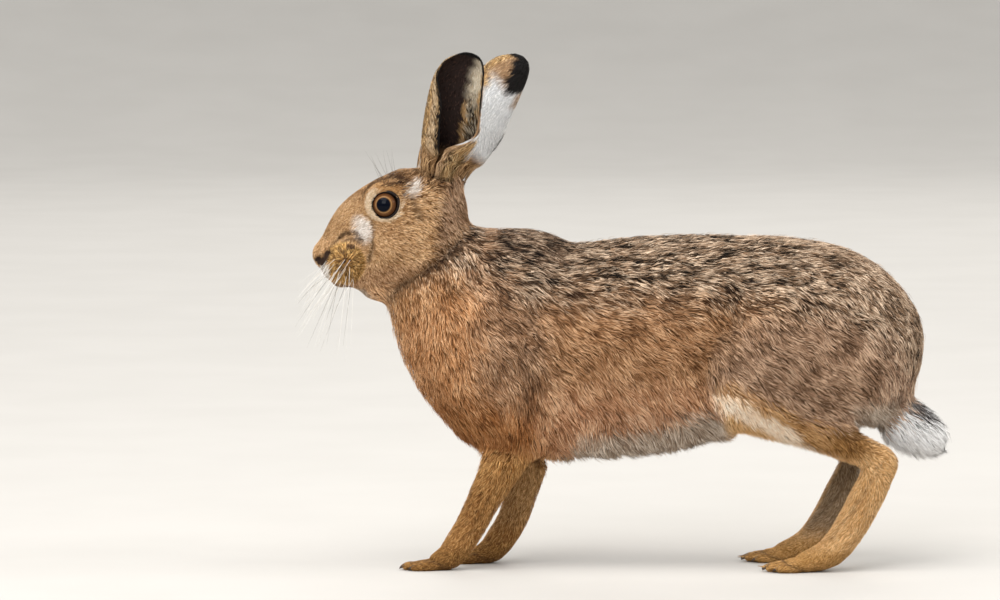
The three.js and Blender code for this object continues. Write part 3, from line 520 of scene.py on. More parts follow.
def trunk_layers(p, n):
    """The coats that lie over the rusty one of the flank, and their masks, whose edges wander a little; and
    painted shade in the furrow behind the shoulder and the fold before the thigh.
    """
    drift = np.column_stack([waves(p, 26, 1), np.zeros(len(p)), waves(p, 26, 2)])
    stray = p + 3.5 * drift
    x, z = stray[:, 0], stray[:, 2]
    throat = ramp(left_of(stray, (-150, 252), (-132, 300)), 6, -8)
    belly = ramp(above(p, *BELLY_EDGE), 7, -5) * ramp(p[:, 0], -66, -52) * ramp(p[:, 0], 74, 62)
    under = ramp(n[:, 2], -0.35, -0.8)
    return [
        ("low flank", ramp(z, 180, 140)),
        ("rump", ramp(x, 120, 185)),
        ("thigh", oval(stray, 140, 175, 72, 50)),
        ("shoulder", oval(stray, -118, 195, 46, 62)),
        ("chest", ramp(x, -118, -156)),
        ("brisket", ramp(z, 178, 128) * ramp(x, -64, -96)),
        ("neck", ramp(left_of(stray, (-205, 200), (-135, 262)), -10, 14)),
        ("back", ramp(above(stray, *BACK_EDGE), -20, 20)),
        ("withers", oval(stray, -98, 278, 46, 20, tip=10)),
        ("nape", throat * oval(stray, -146, 290, 26, 44)),
        ("belly", belly),
        ("belly", under * ramp(p[:, 0], -58, -40) * ramp(p[:, 2], 175, 155)),
        ("belly", inner_side(p, n) * ramp(p[:, 2], 150, 125) * ramp(p[:, 0], -40, 0)),
        # painted shade in the furrow behind the shoulder and the fold between flank and thigh
        ("dark mark and shade", 0.35 * on_line(stray, SHOULDER_FURROW, 7, 1)),
        ("dark mark and shade", 0.5 * on_line(stray, FLANK_FOLD, 8, 1)),
    ]


def leg_layers(p, n):
    """The gold of the legs, cream along knee and shank, the paler inner sides of the forelegs, the grey inner
    sides of the hind legs darkened as painted shade, and painted shade under the thigh, along a groove of the
    hind leg and between the toes.
    """
    placed = stepped(p)
    fore = in_foreleg(p)
    hind = in_hind_leg(p)
    inner = inner_side(p, n)
    outer = 1 - inner
    creases = np.maximum.reduce([on_line(placed, crease, 1.5, 0.4) for crease in TOE_CREASES])
    return [
        ("foreleg", fore),
        ("forepaw", fore * ramp(p[:, 2], 26, 12)),
        ("inner leg", 0.6 * inner * fore * ramp(p[:, 2], 24, 50)),
        ("gold", hind),
        ("shank", hind * oval(placed, 156, 121, 50, 13, tip=18)),
        # the inner sides of the hind legs, grey and darkened as painted shade
        ("inner hind leg in shade", 0.85 * inner * hind * ramp(p[:, 2], 16, 40)),
        # painted shade under the thigh's fur, in the groove between the sinews and in the creases between the
        # toes
        ("dark mark and shade", 0.45 * outer * on_line(placed, THIGH_SHADE, 5, 1)),
        ("dark mark and shade", 0.3 * hind * on_line(placed, LEG_GROOVES[0], 2.6, 0.6)),
        ("toes", hind * ramp(p[:, 2], 26, 12)),
        ("dark mark and shade", 0.7 * creases),
        ("orange", 0.6 * outer * on_line(placed, KNEE_GOLD, 13, 3)),
        ("cream", outer * on_line(placed, KNEE_CREAM, 9.5, 3.5)),
        ("cream", 0.8 * outer * on_line(placed, SHANK_CREAM, 5, 2)),
    ]


def tail_layers(p):
    """The tail, black above and white below, and the white fur beside its root."""
    tail = in_tail(p)
    rump_white = ramp(under_rump(p), 4, -3) * ramp(np.abs(p[:, 1]), 32, 25) * ramp(p[:, 0], 195, 202)
    black = above(p, *TAIL_EDGE) + 1.2 * waves(p, 9, 3)
    return [("tail white", np.maximum(tail, rump_white)), ("tail top", tail * ramp(black, -1, 2.5))]


def face_layers(p):
    """The coats of the head, its marks round eye, nose, lips and whiskers, and painted shade in the crease
    behind the pad, the nostrils, the creases of nose and mouth and the cheek's fold.
    """
    eye = p[:, [0, 2]] - np.array([EYE_CENTRE["left"].x - 1.6, EYE_CENTRE["left"].z + 0.6])
    off_eye = np.hypot(*eye.T)
    ahead = ramp(-eye[:, 0] / np.maximum(off_eye, 1), 0.2, 0.9)
    over = ramp(eye[:, 1] / np.maximum(off_eye, 1), 0.0, 0.7)
    ring = 14.9 + 2.6 * ahead
    off_speckles = p[:, [0, 2]] - np.array(SPECKLE_MIDDLE)
    out = np.hypot(*off_speckles.T)
    spokes = np.column_stack([np.arctan2(*off_speckles.T) * 9, out * 0.55, np.zeros(len(p))])
    freckles = ramp(waves(spokes, 2.8, 5), -0.1, 0.5) * (0.5 + 0.5 * ramp(out, 12, 3))
    off_pad = np.hypot(p[:, 0] - PAD_MIDDLE[0], p[:, 2] - PAD_MIDDLE[1])
    marks = [
        ("cheek", 1),
        ("jaw", ramp(above(p, *JAW_EDGE), 5, -9)),
        ("crown", ramp(above(p, *CROWN_EDGE), -4, 5)),
        ("bridge", oval(p, -243, 300, 22, 13, tip=-45)),
        ("nape", ramp(left_of(p, (-172, 285), (-168, 345)), 4, -8)),
        ("orange", ramp(off_eye, 21, 16) * (0.5 + 0.5 * over)),
        ("dark mark and shade", 0.75 * ramp(np.abs(off_eye - 19.5), 1.7, 0.5) * over * ramp(eye[:, 0], 8, -2)),
        ("eye ring", ramp(off_eye, ring, ring - 1) * (1 - over * (1 - ahead))),
        ("dark mark and shade", 0.5 * on_line(p, TEMPLE_MARK, 4.5, 1)),
        ("face white", oval(p, -233, 291.5, 7, 11.5, tip=-19, soft=0.8)),
        ("face white", oval(p, -190, 326, 7, 5.5, tip=-50, soft=0.8)),
        ("dark mark and shade", on_line(p, BROW_MARK, 2.1, 0.8)),
        ("dark mark and shade", on_line(p, BROW_LINE, 1.3, 0.5)),
        # painted shade in the crease behind the pad
        ("dark mark and shade", 0.7 * on_line(p, TEAR_TROUGH_CREASE, 2.6, 0.8)),
        ("pad", ramp(off_pad, 18.5, 15.5)),
        ("dark mark and shade", ramp(off_pad, 17, 12) * freckles),
        ("dark mark and shade", 0.85 * on_line(p, OUTER_ARC, 2.2, 0.7)),
        ("dark mark and shade", 0.7 * on_line(p, INNER_ARC, 1.8, 0.6)),
        ("face white", oval(p, -263, 256, 4.5, 8, tip=20)),
        ("chin", ramp(above(p, *CHIN_EDGE), 0.5, -3.5) * ramp(p[:, 0], -222, -232)),
        ("dark mark and shade", oval(p, -241.5, 275.5, 4, 2.5)),
        # painted shade in the crease of the nose, the slits of the nostrils and the parting of the mouth
        ("dark mark and shade", 0.5 * on_line(p, NOSTRIL_CREASE, 1.7, 0.6)),
        ("dark mark and shade", on_line(p, NOSTRIL, 3.6, 2.6)),
        ("dark mark and shade", 0.55 * on_line(p, MOUTH_LINE, 1.5, 0.5)),
    ]
    head = in_head(p)
    # painted shade in the fold between cheek and neck
    fold = 0.7 * on_line(p, CHEEK_FOLD, 6, 1.5)
    return [(name, head * mask) for name, mask in marks] + [("dark mark and shade", fold)]


def body_coat(p, n):
    """The darkest, mean and lightest colour of the coat at points of the skin, with normals n."""
    return dyed("flank", trunk_layers(p, n) + leg_layers(p, n) + tail_layers(p) + face_layers(p))


def ear_coat(u, v, inner, side):
    """The same for points of an ear, from their place round it and up it, on its outer or its inner face."""
    along, width, lean = leaf_at(v).T
    across = np.sin(ear_angle(along, u)) * width  # from the front of the ear, -1, to its rear, 1
    stray = across + 0.05 * np.sin(along * 41 + side * 2) + 0.04 * np.sin(along * 83 + 1)
    high = ramp(along + 0.06 * across, 0.64, 0.76)
    low = ramp(along, 0.7, 0.6)
    foot_of_slit = np.abs(along - 0.335)
    grain = waves(np.column_stack([across * 24, along * 90, inner * 9]), 1.9, 41, 24)
    specks = ramp(grain, 0.1, 0.7)
    tip_black = ramp(along - 0.12 * across, 0.63, 0.68)
    front_of_black = -0.25 + 1.8 * np.clip(0.84 - along, 0, 0.3)
    front_band = ramp(u, 0.3, 0.2)
    back_edge = ramp(u, 0.8, 0.86) * ramp(along, 0.34, 0.28)
    outer_marks = [
        ("ear white", 1),
        ("ear gold", ramp(stray, -0.5, -0.8)),
        ("ear orange", ramp(stray, 0.3, 0.0) * high),
        ("ear gold", front_band),
        ("ear speckle", 0.75 * front_band * specks * ramp(along, 0.95, 0.8)),
        ("ear cream", 0.35 * ramp(np.abs(u - 0.07), 0.06, 0.02) * (1 - specks) * ramp(along, 0.85, 0.7)),
        ("ear black", tip_black * ramp(stray - front_of_black, -0.12, 0.12)),
        ("ear orange", 0.8 * ramp(along, 0.6, 0.64) * (1 - tip_black) * ramp(stray, 0.4, 0.7)),
        ("ear root", ramp(along, 0.24, 0.12)),
        ("ear speckle", 0.6 * ramp(np.abs(stray + 0.97), 0.13, 0.04) * ramp(along, 0.9, 0.8)),
        ("ear speckle", back_edge),
        ("ear gold", 0.8 * back_edge * ramp(np.abs(u - 0.9), 0.05, 0.02)),
        ("ear white", ramp(u, 0.94, 0.97) * ramp(foot_of_slit, 0.03, 0.012)),
    ]
    rear_flap = ramp(stray, 0.3, 0.45) * low
    ridge = ramp(np.abs(stray - 0.34 - 0.5 * (0.45 - along)), 0.12, 0.04)
    pale_flap = ramp(stray, 0.06, 0.6) * ramp(along, 0.5, 0.72)
    # the inner face starts from painted shade, the dark of the ear's hollow
    inner_marks = [
        ("ear cup shade", 1),
        ("ear speckle", ramp(stray, 0.25, 0.4)),
        ("ear cream", 0.5 * rear_flap * ramp(grain, -0.1, -0.8)),
        ("ear black", 0.7 * rear_flap * specks),
        ("ear cream", pale_flap * (1 - 0.6 * specks * ramp(along, 0.8, 0.6))),
        ("ear gold", 0.8 * ridge * ramp(along, 0.62, 0.5)),
        ("ear gold", ramp(stray, 0.72, 0.86) * ramp(along, 0.45, 0.6)),
    ]
    rim_marks = [
        ("ear orange", ramp(u, 0.95, 0.98) * (1 - high)),
        ("ear white", ramp(u, 0.93, 0.96) * ramp(foot_of_slit, 0.035, 0.015)),
        ("ear black", ramp(u, 0.972, 0.985) * ramp(along, 0.5, 0.6)),
        ("ear black", ramp(along, 0.93, 0.96)),
        ("ear black", ramp(u - 0.02 * specks, 0.03, 0.01) * ramp(along, 0.12, 0.22)),
        ("ear root", inner * ramp(along, 0.2, 0.1)),
    ]
    layers = [(name, (1 - inner) * mask) for name, mask in outer_marks]
    layers += [(name, inner * mask) for name, mask in inner_marks]
    return dyed("ear white", layers + rim_marks)


def skin_coat(p, n, where):
    """The colours for points anywhere on the skin; where holds u, v, inner and side on an ear, else -1."""
    coats = body_coat(p, n)
    ears = where[:, 1] >= 0
    coats[ears] = ear_coat(*where[ears].T)
    return coats


def tinted(mesh, name, colours):
    """Keeps a colour for each point of a mesh."""
    layer = mesh.color_attributes.new(name, "FLOAT_COLOR", "POINT")
    full = np.ones((len(colours), 4), np.float32)
    full[:, :3] = colours
    layer.data.foreach_set("color", full.ravel())


p = places(skin_mesh)
# The skin's colour is the coat's mean, darkened for the dark under-fur and as painted shade between the
# tufts.
SKIN_DARK_AND_SHADE = 0.68  # the skin seen between tufts is darker than their tips
coats = skin_coat(p, ways_out(skin_mesh), on_ear)
tinted(skin_mesh, "coat", coats[:, 1] * SKIN_DARK_AND_SHADE)


def link(nodes, start, end):
    """Joins an output to an input of a material."""
    nodes.id_data.links.new(start, end)


def shader(name, settings):
    """A new material, with its nodes and its main shader, on which the settings are made."""
    material = bpy.data.materials.new(name)
    material.use_nodes = True
    nodes = material.node_tree.nodes
    finish = nodes["Principled BSDF"]
    for socket, value in settings.items():
        finish.inputs[socket].default_value = value
    return material, nodes, finish


def noise(nodes, scale, detail):
    """Fine noise that is fixed to the places of the model."""
    place = nodes.new("ShaderNodeNewGeometry")
    grain = nodes.new("ShaderNodeTexNoise")
    grain.inputs["Scale"].default_value = scale
    grain.inputs["Detail"].default_value = detail
    link(nodes, place.outputs["Position"], grain.inputs["Vector"])
    return grain.outputs["Fac"]


def kept_colour(name, layer, scale, detail, span, shades, settings):
    """A material in the colour kept in a mesh, where noise within a span makes it darker and lighter."""
    material, nodes, finish = shader(name, settings)
    colour = nodes.new("ShaderNodeAttribute")
    colour.attribute_name = layer
    grain = noise(nodes, scale, detail)
    shade = nodes.new("ShaderNodeMapRange")
    shade.inputs["From Min"].default_value = span[0]
    shade.inputs["From Max"].default_value = span[1]
    shade.inputs["To Min"].default_value = shades[0]
    shade.inputs["To Max"].default_value = shades[1]
    link(nodes, grain, shade.inputs["Value"])
    mix = nodes.new("ShaderNodeVectorMath")
    mix.operation = "SCALE"
    link(nodes, colour.outputs["Color"], mix.inputs[0])
    link(nodes, shade.outputs["Result"], mix.inputs["Scale"])
    link(nodes, mix.outputs["Vector"], finish.inputs["Base Color"])
    return material, nodes, finish, grain


def short_fur():
    """Skin with a short flat pile: the coat's colour, broken up into fine hairs, and their bump."""
    dry = {"Roughness": 0.78, "Specular IOR Level": 0.25}
    material, nodes, finish, hairs = kept_colour("short fur", "coat", 2200, 3, (0.3, 0.7), (0.7, 1.25), dry)
    bump = nodes.new("ShaderNodeBump")
    bump.inputs["Strength"].default_value = 0.6
    bump.inputs["Distance"].default_value = 0.4 * MM
    link(nodes, hairs, bump.inputs["Height"])
    link(nodes, bump.outputs["Normal"], finish.inputs["Normal"])
    return material


skin_mesh.materials.clear()
skin_mesh.materials.append(short_fur())

# The lie of the coat: which way the hairs point, from the nose back over head and trunk and down the sides
# and legs. Each row is a place in the side view and the way of the hairs there, [x, z] both.
LIE_REACH = 12  # mm from its place at which a row's weight has fallen to a quarter
WANDERS = [(9, 42, 21), (8, 15, 22)]  # degrees that the hairs turn aside, the mm of the swells and their seed
LIE = np.array([
    (-269, 273, 0.3, 0.95), (-246, 303, 0.65, 0.75), (-216, 333, 0.9, 0.4), (-190, 344, 0.95, 0.3),
    (-235, 292, 0.75, 0.6), (-212, 291, 0.9, -0.3), (-212, 273, 0.85, -0.5), (-182, 286, 0.8, -0.55),
    (-220, 243, 0.7, -0.6), (-177, 312, 0.85, -0.4), (-177, 342, 0.3, 0.95), (-151, 329, 0.35, -0.95),
    (-143, 303, 0.5, -0.85), (-250, 247, 0.7, -0.6), (-229, 313, 0.75, 0.6), (-196, 322, 0.95, 0.1),
    (-220, 230, 0.5, -0.85), (-203, 213, 0.15, -1), (-173, 248, 0.3, -0.95), (-147, 273, 0.6, -0.75),
    (-104, 282, 0.9, -0.35), (-70, 273, 0.95, -0.25), (-190, 170, 0.2, -0.98), (-173, 136, 0.45, -0.9),
    (-139, 119, 0.45, -0.9), (-130, 213, 0.6, -0.8), (-113, 170, 0.6, -0.8), (-78, 205, 0.75, -0.65),
    (-87, 144, 0.45, -0.9), (-78, 110, 0.35, -0.95), (-27, 278, 1, -0.1), (42, 282, 1, 0),
    (102, 280, 1, -0.15), (162, 269, 0.9, -0.4), (-27, 222, 0.9, -0.4), (42, 213, 0.85, -0.5),
    (-27, 162, 0.65, -0.75), (42, 153, 0.6, -0.8), (-27, 110, 0.3, -0.95), (42, 110, 0.3, -0.95),
    (76, 136, 0.55, -0.8), (94, 205, 0.75, -0.6), (145, 205, 0.8, -0.55), (197, 222, 0.65, -0.75),
    (235, 187, 0.35, -0.93), (223, 153, 0.5, -0.85), (128, 162, 0.85, -0.5), (180, 145, 0.8, -0.6),
    (98, 144, 0.7, -0.7), (145, 123, 0.85, -0.5), (205, 101, 0.7, -0.7), (188, 67, -0.5, -0.87),
    (158, 37, -0.75, -0.6), (130, 8, -1, -0.1), (-113, 93, -0.3, -0.95), (-130, 58, -0.4, -0.9),
    (-143, 24, -0.4, -0.9), (-173, 7, -1, -0.15), (236, 127, 0.75, -0.65), (261, 101, 0.6, -0.8),
    (-222, 238, -0.5, -0.87), (215, 135, 0.6, -0.8), (203, 122, 0.55, -0.83), (250, 140, 0.85, -0.5),
])


def lie(p, n):
    """The way of the hairs at points of the skin with normals n."""
    placed = stepped(p)[:, [0, 2]]
    apart = ((placed[:, None, :] - LIE[None, :, :2]) ** 2).sum(axis=2)
    weight = 1 / (apart + LIE_REACH**2) ** 2
    way = np.zeros((len(p), 3))
    way[:, [0, 2]] = (weight @ LIE[:, 2:]) / weight.sum(axis=1)[:, None]
    off_pad = placed - np.array(SPECKLE_MIDDLE)  # hairs spread from the middle of the whisker pad
    on_pad = in_head(p) * ramp(np.hypot(*off_pad.T), 20, 14)
    way[:, [0, 2]] += (unit(off_pad) - way[:, [0, 2]]) * on_pad[:, None]
    way -= n * (way * n).sum(axis=1)[:, None]
    way += 1e-4  # never without length
    wide, fine = (np.radians(degrees) * waves(p, size, seed) for degrees, size, seed in WANDERS)
    turn = wide + fine * (1 - 0.5 * in_head(p))
    way = unit(way)
    aside = np.tan(turn) * ramp(np.hypot(*off_pad.T), 12, 20)
    return unit(way + np.cross(n, way) * aside[:, None])


# The coat of trunk, head, legs and tail: tufts of hair, each one a thin closed sliver with a ridge, rooted in
# the skin and laid along it over the next ones. They are longest on the tail and shortest on nose and toes.
COAT_TUFTS = 232000
PIECE_TUFTS = 32500  # the most that one piece of the coat holds
PATCH_WORK = 6  # tufts are dealt out over the skin by squares of so many mm
STROKE = {
    "trunk": 11.5, "belly": 14.0, "tail": 16.0, "head": 3.0, "head rear": 6.5, "leg": 5.5, "leg top": 10.5,
    "foot": 3.6,
}
# how many more tufts grow for each one of the trunk
CLOSER = {"leg": 1.3, "head": 1.5, "nose": 1.6, "tail": 0.4, "foot": 2}
seeds = np.random.default_rng(7)


def ear_root(p):
    """1 round the roots of the ears, and 0 from where the pile of the head is short again."""
    apart = [np.linalg.norm(p - np.array(ear["root"]), axis=1) for ear in EARS.values()]
    return ramp(np.minimum(*apart), 25, 17)


def stroke(p):
    """How long the tufts are, in mm."""
    long = STROKE["trunk"] + (STROKE["belly"] - STROKE["trunk"]) * ramp(p[:, 2], 160, 125)
    long -= 2.5 * ramp(p[:, 0], -130, -190)
    head = STROKE["head"] + (STROKE["head rear"] - STROKE["head"]) * ramp(p[:, 0], -236, -165)
    head = head + 3 * oval(p, -233, 291, 10, 12) + 2.5 * oval(p, -190, 326, 9, 7) + 5 * ear_root(p)
    head += 10 * oval(p, -218, 240, 12, 8, tip=-25) + 1.5 * oval(p, *PAD_MIDDLE, 15, 15)
    long += (head - long) * in_head(p)
    fore = STROKE["leg"] + (STROKE["leg top"] - STROKE["leg"]) * ramp(p[:, 2], 55, 105)
    long += (fore - long) * in_foreleg(p)
    hind = STROKE["leg"] + 0.4 * (STROKE["leg top"] - STROKE["leg"]) * ramp(p[:, 2], 80, 125)
    long += (hind - long) * in_hind_leg(p)
    long += (STROKE["foot"] - long) * in_foot(p)
    return long + (STROKE["tail"] - long) * in_tail(p)


def closeness(p):
    """How many tufts a square millimetre holds, beside the trunk's."""
    many = 1 + CLOSER["leg"] * np.maximum(in_foreleg(p), in_hind_leg(p)) + CLOSER["tail"] * in_tail(p)
    many += in_head(p) * (CLOSER["head"] + CLOSER["nose"] * ramp(p[:, 0], -205, -240))
    return many + (1 + CLOSER["foot"] - many) * in_foot(p)


def bare(p):
    """1 where no tuft grows: the eyes and the nostrils."""
    gone = on_line(p, NOSTRIL, 3.2, 2.4) * ramp(np.abs(p[:, 1]), 1.5, 3)
    for side, sign in SIDES.items():
        ring, off = eye_place(p, side, sign)[1:]
        gone = np.maximum(gone, (ring < 1.09) & (off[:, 1] * sign > -12))
    return gone


skin_points = places(body_skin)
skin_ways = ways_out(body_skin)
body_skin.calc_loop_triangles()
corners = np.empty(len(body_skin.loop_triangles) * 3, np.int32)
body_skin.loop_triangles.foreach_get("vertices", corners)
corners = corners.reshape(-1, 3)
a, b, c = (skin_points[corners[:, k]] for k in range(3))
middles = (a + b + c) / 3
share = np.linalg.norm(np.cross(b - a, c - a), axis=1) * closeness(middles) * (bare(middles) < 0.5)
order = np.lexsort((np.floor(middles[:, 2] / PATCH_WORK), np.floor(middles[:, 0] / PATCH_WORK)))
run = np.cumsum(share[order])
picks = (np.arange(COAT_TUFTS) + seeds.uniform(0, 1, COAT_TUFTS)) / COAT_TUFTS * run[-1]
chosen = corners[order[np.minimum(np.searchsorted(run, picks), len(order) - 1)]]
s, t = seeds.uniform(0, 1, (2, COAT_TUFTS))
s, t = np.where(s + t > 1, 1 - s, s), np.where(s + t > 1, 1 - t, t)
mixed = np.column_stack([1 - s - t, s, t])[:, :, None]
roots = (skin_points[chosen] * mixed).sum(axis=1)
root_ways = unit((skin_ways[chosen] * mixed).sum(axis=1))
skin_tree = BVHTree.FromPolygons(skin_points.tolist(), corners.tolist())


def over_skin(p, height):
    """The nearest places on the skin, raised by a height, and the normals there."""
    near = [skin_tree.find_nearest(place)[:2] for place in p.tolist()]
    on = np.array([place for place, way in near])
    way = np.array([way for place, way in near])
    return on + way * height[:, None], way


CLUMP = 18  # tufts that lean together
CLUMP_PULL = 0.3
CLUMP_SPREAD = 0.25  # how far apart the tips of a clump are aimed, beside its roots


def clumped(p, tips):
    """Tips drawn towards the tip of the clump that their roots are nearest to, and the clumps' numbers."""
    centres = seeds.permutation(len(p))[: len(p) // CLUMP]
    tree = KDTree(len(centres))
    for i, centre in enumerate(centres):
        tree.insert(p[centre], i)
    tree.balance()
    nearest = np.array([tree.find(place)[1] for place in p.tolist()])
    leader = centres[nearest]
    aim = tips[leader] + (p - p[leader]) * CLUMP_SPREAD
    return tips + (aim - tips) * CLUMP_PULL, nearest


# a tuft's five points: its root, three at the middle and its tip, and its faces between them
TUFT_FACES = np.array([(0, 1, 2), (0, 2, 3), (0, 3, 1), (1, 4, 2), (2, 4, 3), (3, 4, 1)])
TUFT_MAP = np.array([(0.5, 0), (0, 0.45), (1, 0.45), (0.5, 0.55), (0.5, 1)])
TUFT_SIDES = (0, -1, 1, 0, 0)
TUFT_SUNK = 0.4  # mm that a tuft starts under the skin
TUFT_RIDGE = 0.36  # how high its ridge is, as a share of its width
PATCH = 0.003  # how large one tuft is on the map
FLOOR_ROOM = 0.15  # how far the lowest tufts stay off the floor
OWN_SHADE = 0.42  # how much of its own roundness a tuft shows, beside the skin's
DRY_HAIR = {"Roughness": 0.7, "Specular IOR Level": 0.12}
hair_material = kept_colour("hair", "coat", 2600, 2, (0.3, 0.7), (0.84, 1.16), DRY_HAIR)[0]


def tufts(name, slot, root, middle, tip, root_way, middle_way, width, colours, flat):
    """A piece of the coat: a closed sliver per row, coloured at root, middle and tip, on a map laid flat."""
    count = len(root)
    across = unit(np.cross(unit(tip - middle), middle_way))
    points = np.empty((count, 5, 3))
    points[:, 0] = root - root_way * TUFT_SUNK
    points[:, 1] = middle - across * width[:, None] * 0.5
    points[:, 2] = middle + across * width[:, None] * 0.5
    points[:, 3] = middle + middle_way * width[:, None] * TUFT_RIDGE
    points[:, 4] = tip
    points[:, :, 2] = np.maximum(points[:, :, 2], FLOOR_ROOM)
    lean = np.empty((count, 5, 3))
    for k, side in enumerate(TUFT_SIDES):
        straight = middle_way if k > 0 else root_way
        lean[:, k] = straight * (1 - OWN_SHADE) + (across * side + straight * (1 - abs(side))) * OWN_SHADE
    lean = unit(lean.reshape(-1, 3))
    mesh = bpy.data.meshes.new(name)
    corners = (TUFT_FACES.ravel()[None] + np.arange(count)[:, None] * 5).ravel()
    mesh.vertices.add(count * 5)
    mesh.vertices.foreach_set("co", (points * MM).astype(np.float32).ravel())
    mesh.loops.add(len(corners))
    mesh.loops.foreach_set("vertex_index", corners.astype(np.int32))
    mesh.polygons.add(len(corners) // 3)
    mesh.polygons.foreach_set("loop_start", np.arange(0, len(corners), 3, dtype=np.int32))
    mesh.polygons.foreach_set("use_smooth", np.ones(len(corners) // 3, bool))
    spread = flat - flat.min(axis=0)
    spread = 0.01 + spread / spread.max(axis=0) * (0.98 - PATCH)
    corner_map = spread[:, None, :] + PATCH * TUFT_MAP[TUFT_FACES.ravel()][None]
    mesh.uv_layers.new(name="OFBake").data.foreach_set("uv", corner_map.astype(np.float32).ravel())
    mesh.update(calc_edges=True)
    mesh.normals_split_custom_set_from_vertices(lean.astype(np.float32))
    tinted(mesh, "coat", colours.reshape(-1, 3))
    mesh.materials.append(hair_material)
    piece = bpy.data.objects.new(name, mesh)
    scene.collection.objects.link(piece)
    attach(piece, "root")


def shades(coats, tone):
    """The colours of coats at tones from -1, their darkest tufts, to 1, their lightest."""
    dark, mean, light = coats[:, 0], coats[:, 1], coats[:, 2]
    low = np.clip(tone, -1, 0)[:, None]
    high = np.clip(tone, 0, 1)[:, None]
    return mean + (mean - dark) * low + (light - mean) * high


def tuft_colours(coats, tone, tip_tone, root_dark_and_shade):
    """Colours at a tuft's five points: dark at the root, for the hairs' dark bases and as painted shade, and
    its own tones at the middle and the tip.
    """
    own = shades(coats, tone)
    return np.stack([own * root_dark_and_shade] + [own] * 3 + [shades(coats, tip_tone)], axis=1)


def ticking(p):
    """The back's short black marks, which lie along the hairs, and their pale edges, each from 0 to 1."""
    laid = np.column_stack([(p[:, 0] * 0.95 - p[:, 2] * 0.3) / 1.8, p[:, 0] * 0.3 + p[:, 2] * 0.95, p[:, 1]])
    mark = waves(laid, 7.5, 33, 24) + 0.8 * waves(laid, 4, 34, 24)
    return ramp(mark, 0.0, 0.9), ramp(mark, -0.9, -0.2) * ramp(mark, 0.3, -0.1)


def laid_flat(part, p, n):
    """A map of the coat: up a leg and round it, or along the body and round its middle line."""
    if "leg" in part:
        round_leg = np.arctan2(n[:, 0], n[:, 1]) + np.sign(p[:, 1]) * 3.6
        return np.column_stack([p[:, 2] + 0.15 * p[:, 0], round_leg])
    spine = np.interp(p[:, 0], [-275, -200, -140, -60, 100, 260], [265, 270, 225, 195, 200, 165])
    return np.column_stack([p[:, 0], np.arctan2(p[:, 1], p[:, 2] - spine)])


# Where the tufts lie: each runs from its root along the lie to its middle and on to its tip, at heights over
# the skin that the depth of the coat gives, and leans with its clump. Guard hairs are longer and thinner.
GUARD_SHARE = 0.035
MIDDLE_AT = 0.45  # how far along a tuft its middle is
SIDE_JITTER = 0.16
CURL = 0.22
TUFT_WIDTH = 0.066  # as a share of the length
WIDTH_LIMITS = (0.34, 0.8)
head = in_head(roots)
feet = in_foot(roots)
legs = np.maximum(in_foreleg(roots), in_hind_leg(roots))
guard = (seeds.uniform(0, 1, COAT_TUFTS) < GUARD_SHARE) * (1 - head) * (1 - feet)
long = stroke(roots) * seeds.uniform(0.75, 1.25, COAT_TUFTS) * (1 + 0.3 * guard)
depth = coat_depth(roots)
first_way = lie(roots, root_ways)
jitter = seeds.normal(0, SIDE_JITTER, (COAT_TUFTS, 3))
first_way = unit(first_way + jitter - root_ways * (jitter * root_ways).sum(axis=1)[:, None])
lift = seeds.uniform(0.55, 1.0, COAT_TUFTS) + 0.35 * guard
middles, middle_ways = over_skin(roots + first_way * long[:, None] * MIDDLE_AT, depth * lift * 0.8)
curl = seeds.normal(0, CURL, COAT_TUFTS)[:, None]
second_way = unit(lie(middles, middle_ways) + first_way * 0.8 + np.cross(middle_ways, first_way) * curl)
loose = 1 + 0.5 * ramp(root_ways[:, 2], -0.4, -0.9) + 0.4 * in_tail(roots) + 0.35 * legs * (1 - feet)
tips = over_skin(middles + second_way * long[:, None] * (1 - MIDDLE_AT), depth * lift * loose)[0]
tips, clump = clumped(roots, tips)
width = np.clip(long * TUFT_WIDTH, *WIDTH_LIMITS) * seeds.uniform(0.7, 1.25, COAT_TUFTS) * (1 - 0.4 * guard)
clump_tone = seeds.normal(0, 1, clump.max() + 1)[clump]

# The colours of the tufts: the marking at a place near the root, with the tones of clump, patch and streak,
# the marks of the back, and dark tips among pale ones. The roots are darker, for the hairs' dark bases and as
# painted shade deep in the coat; in pale fur less so, as painted light shining through the roots.
TUFT_ROOT_DARK_AND_SHADE = 0.42
GRIZZLE_EDGE = [(-150, 250), (-90, 232), (150, 220), (262, 150)]
STRAY = 0.16  # how far from its root a tuft takes its colour, as a share of its length
SHARED_TONES = {"clump": 0.16, "patch": 0.15, "streak": 0.18}
DARK_TIPS = 0.12
stray_roots = roots + seeds.normal(0, 1, (COAT_TUFTS, 3)) * (STRAY * long)[:, None]
stray_roots[:, 2] += seeds.normal(0, 3, COAT_TUFTS) * ramp(roots[:, 2], 165, 145) * (long > 9)
coats = body_coat(stray_roots, root_ways)
grizzle = ramp(above(roots, *GRIZZLE_EDGE), -25, 15) * (1 - head) * (1 - 0.45 * ramp(roots[:, 0], 120, 200))
grizzle = np.maximum(grizzle, 0.2 + 0.35 * head * ramp(roots[:, 0], -230, -185)) * (1 - 0.6 * legs)
across_way = np.cross(root_ways, first_way)
laid = [(roots * first_way).sum(axis=1) / 3.2, (roots * across_way).sum(axis=1), np.zeros(COAT_TUFTS)]
common = SHARED_TONES["clump"] * clump_tone + SHARED_TONES["patch"] * waves(roots, 34, 32)
common = (common + SHARED_TONES["streak"] * waves(np.column_stack(laid), 8, 31)) * (1 - 0.6 * legs)
bold = 1 + 0.65 * head + 0.6 * head * oval(roots, *PAD_MIDDLE, 17, 17) + 0.35 * legs


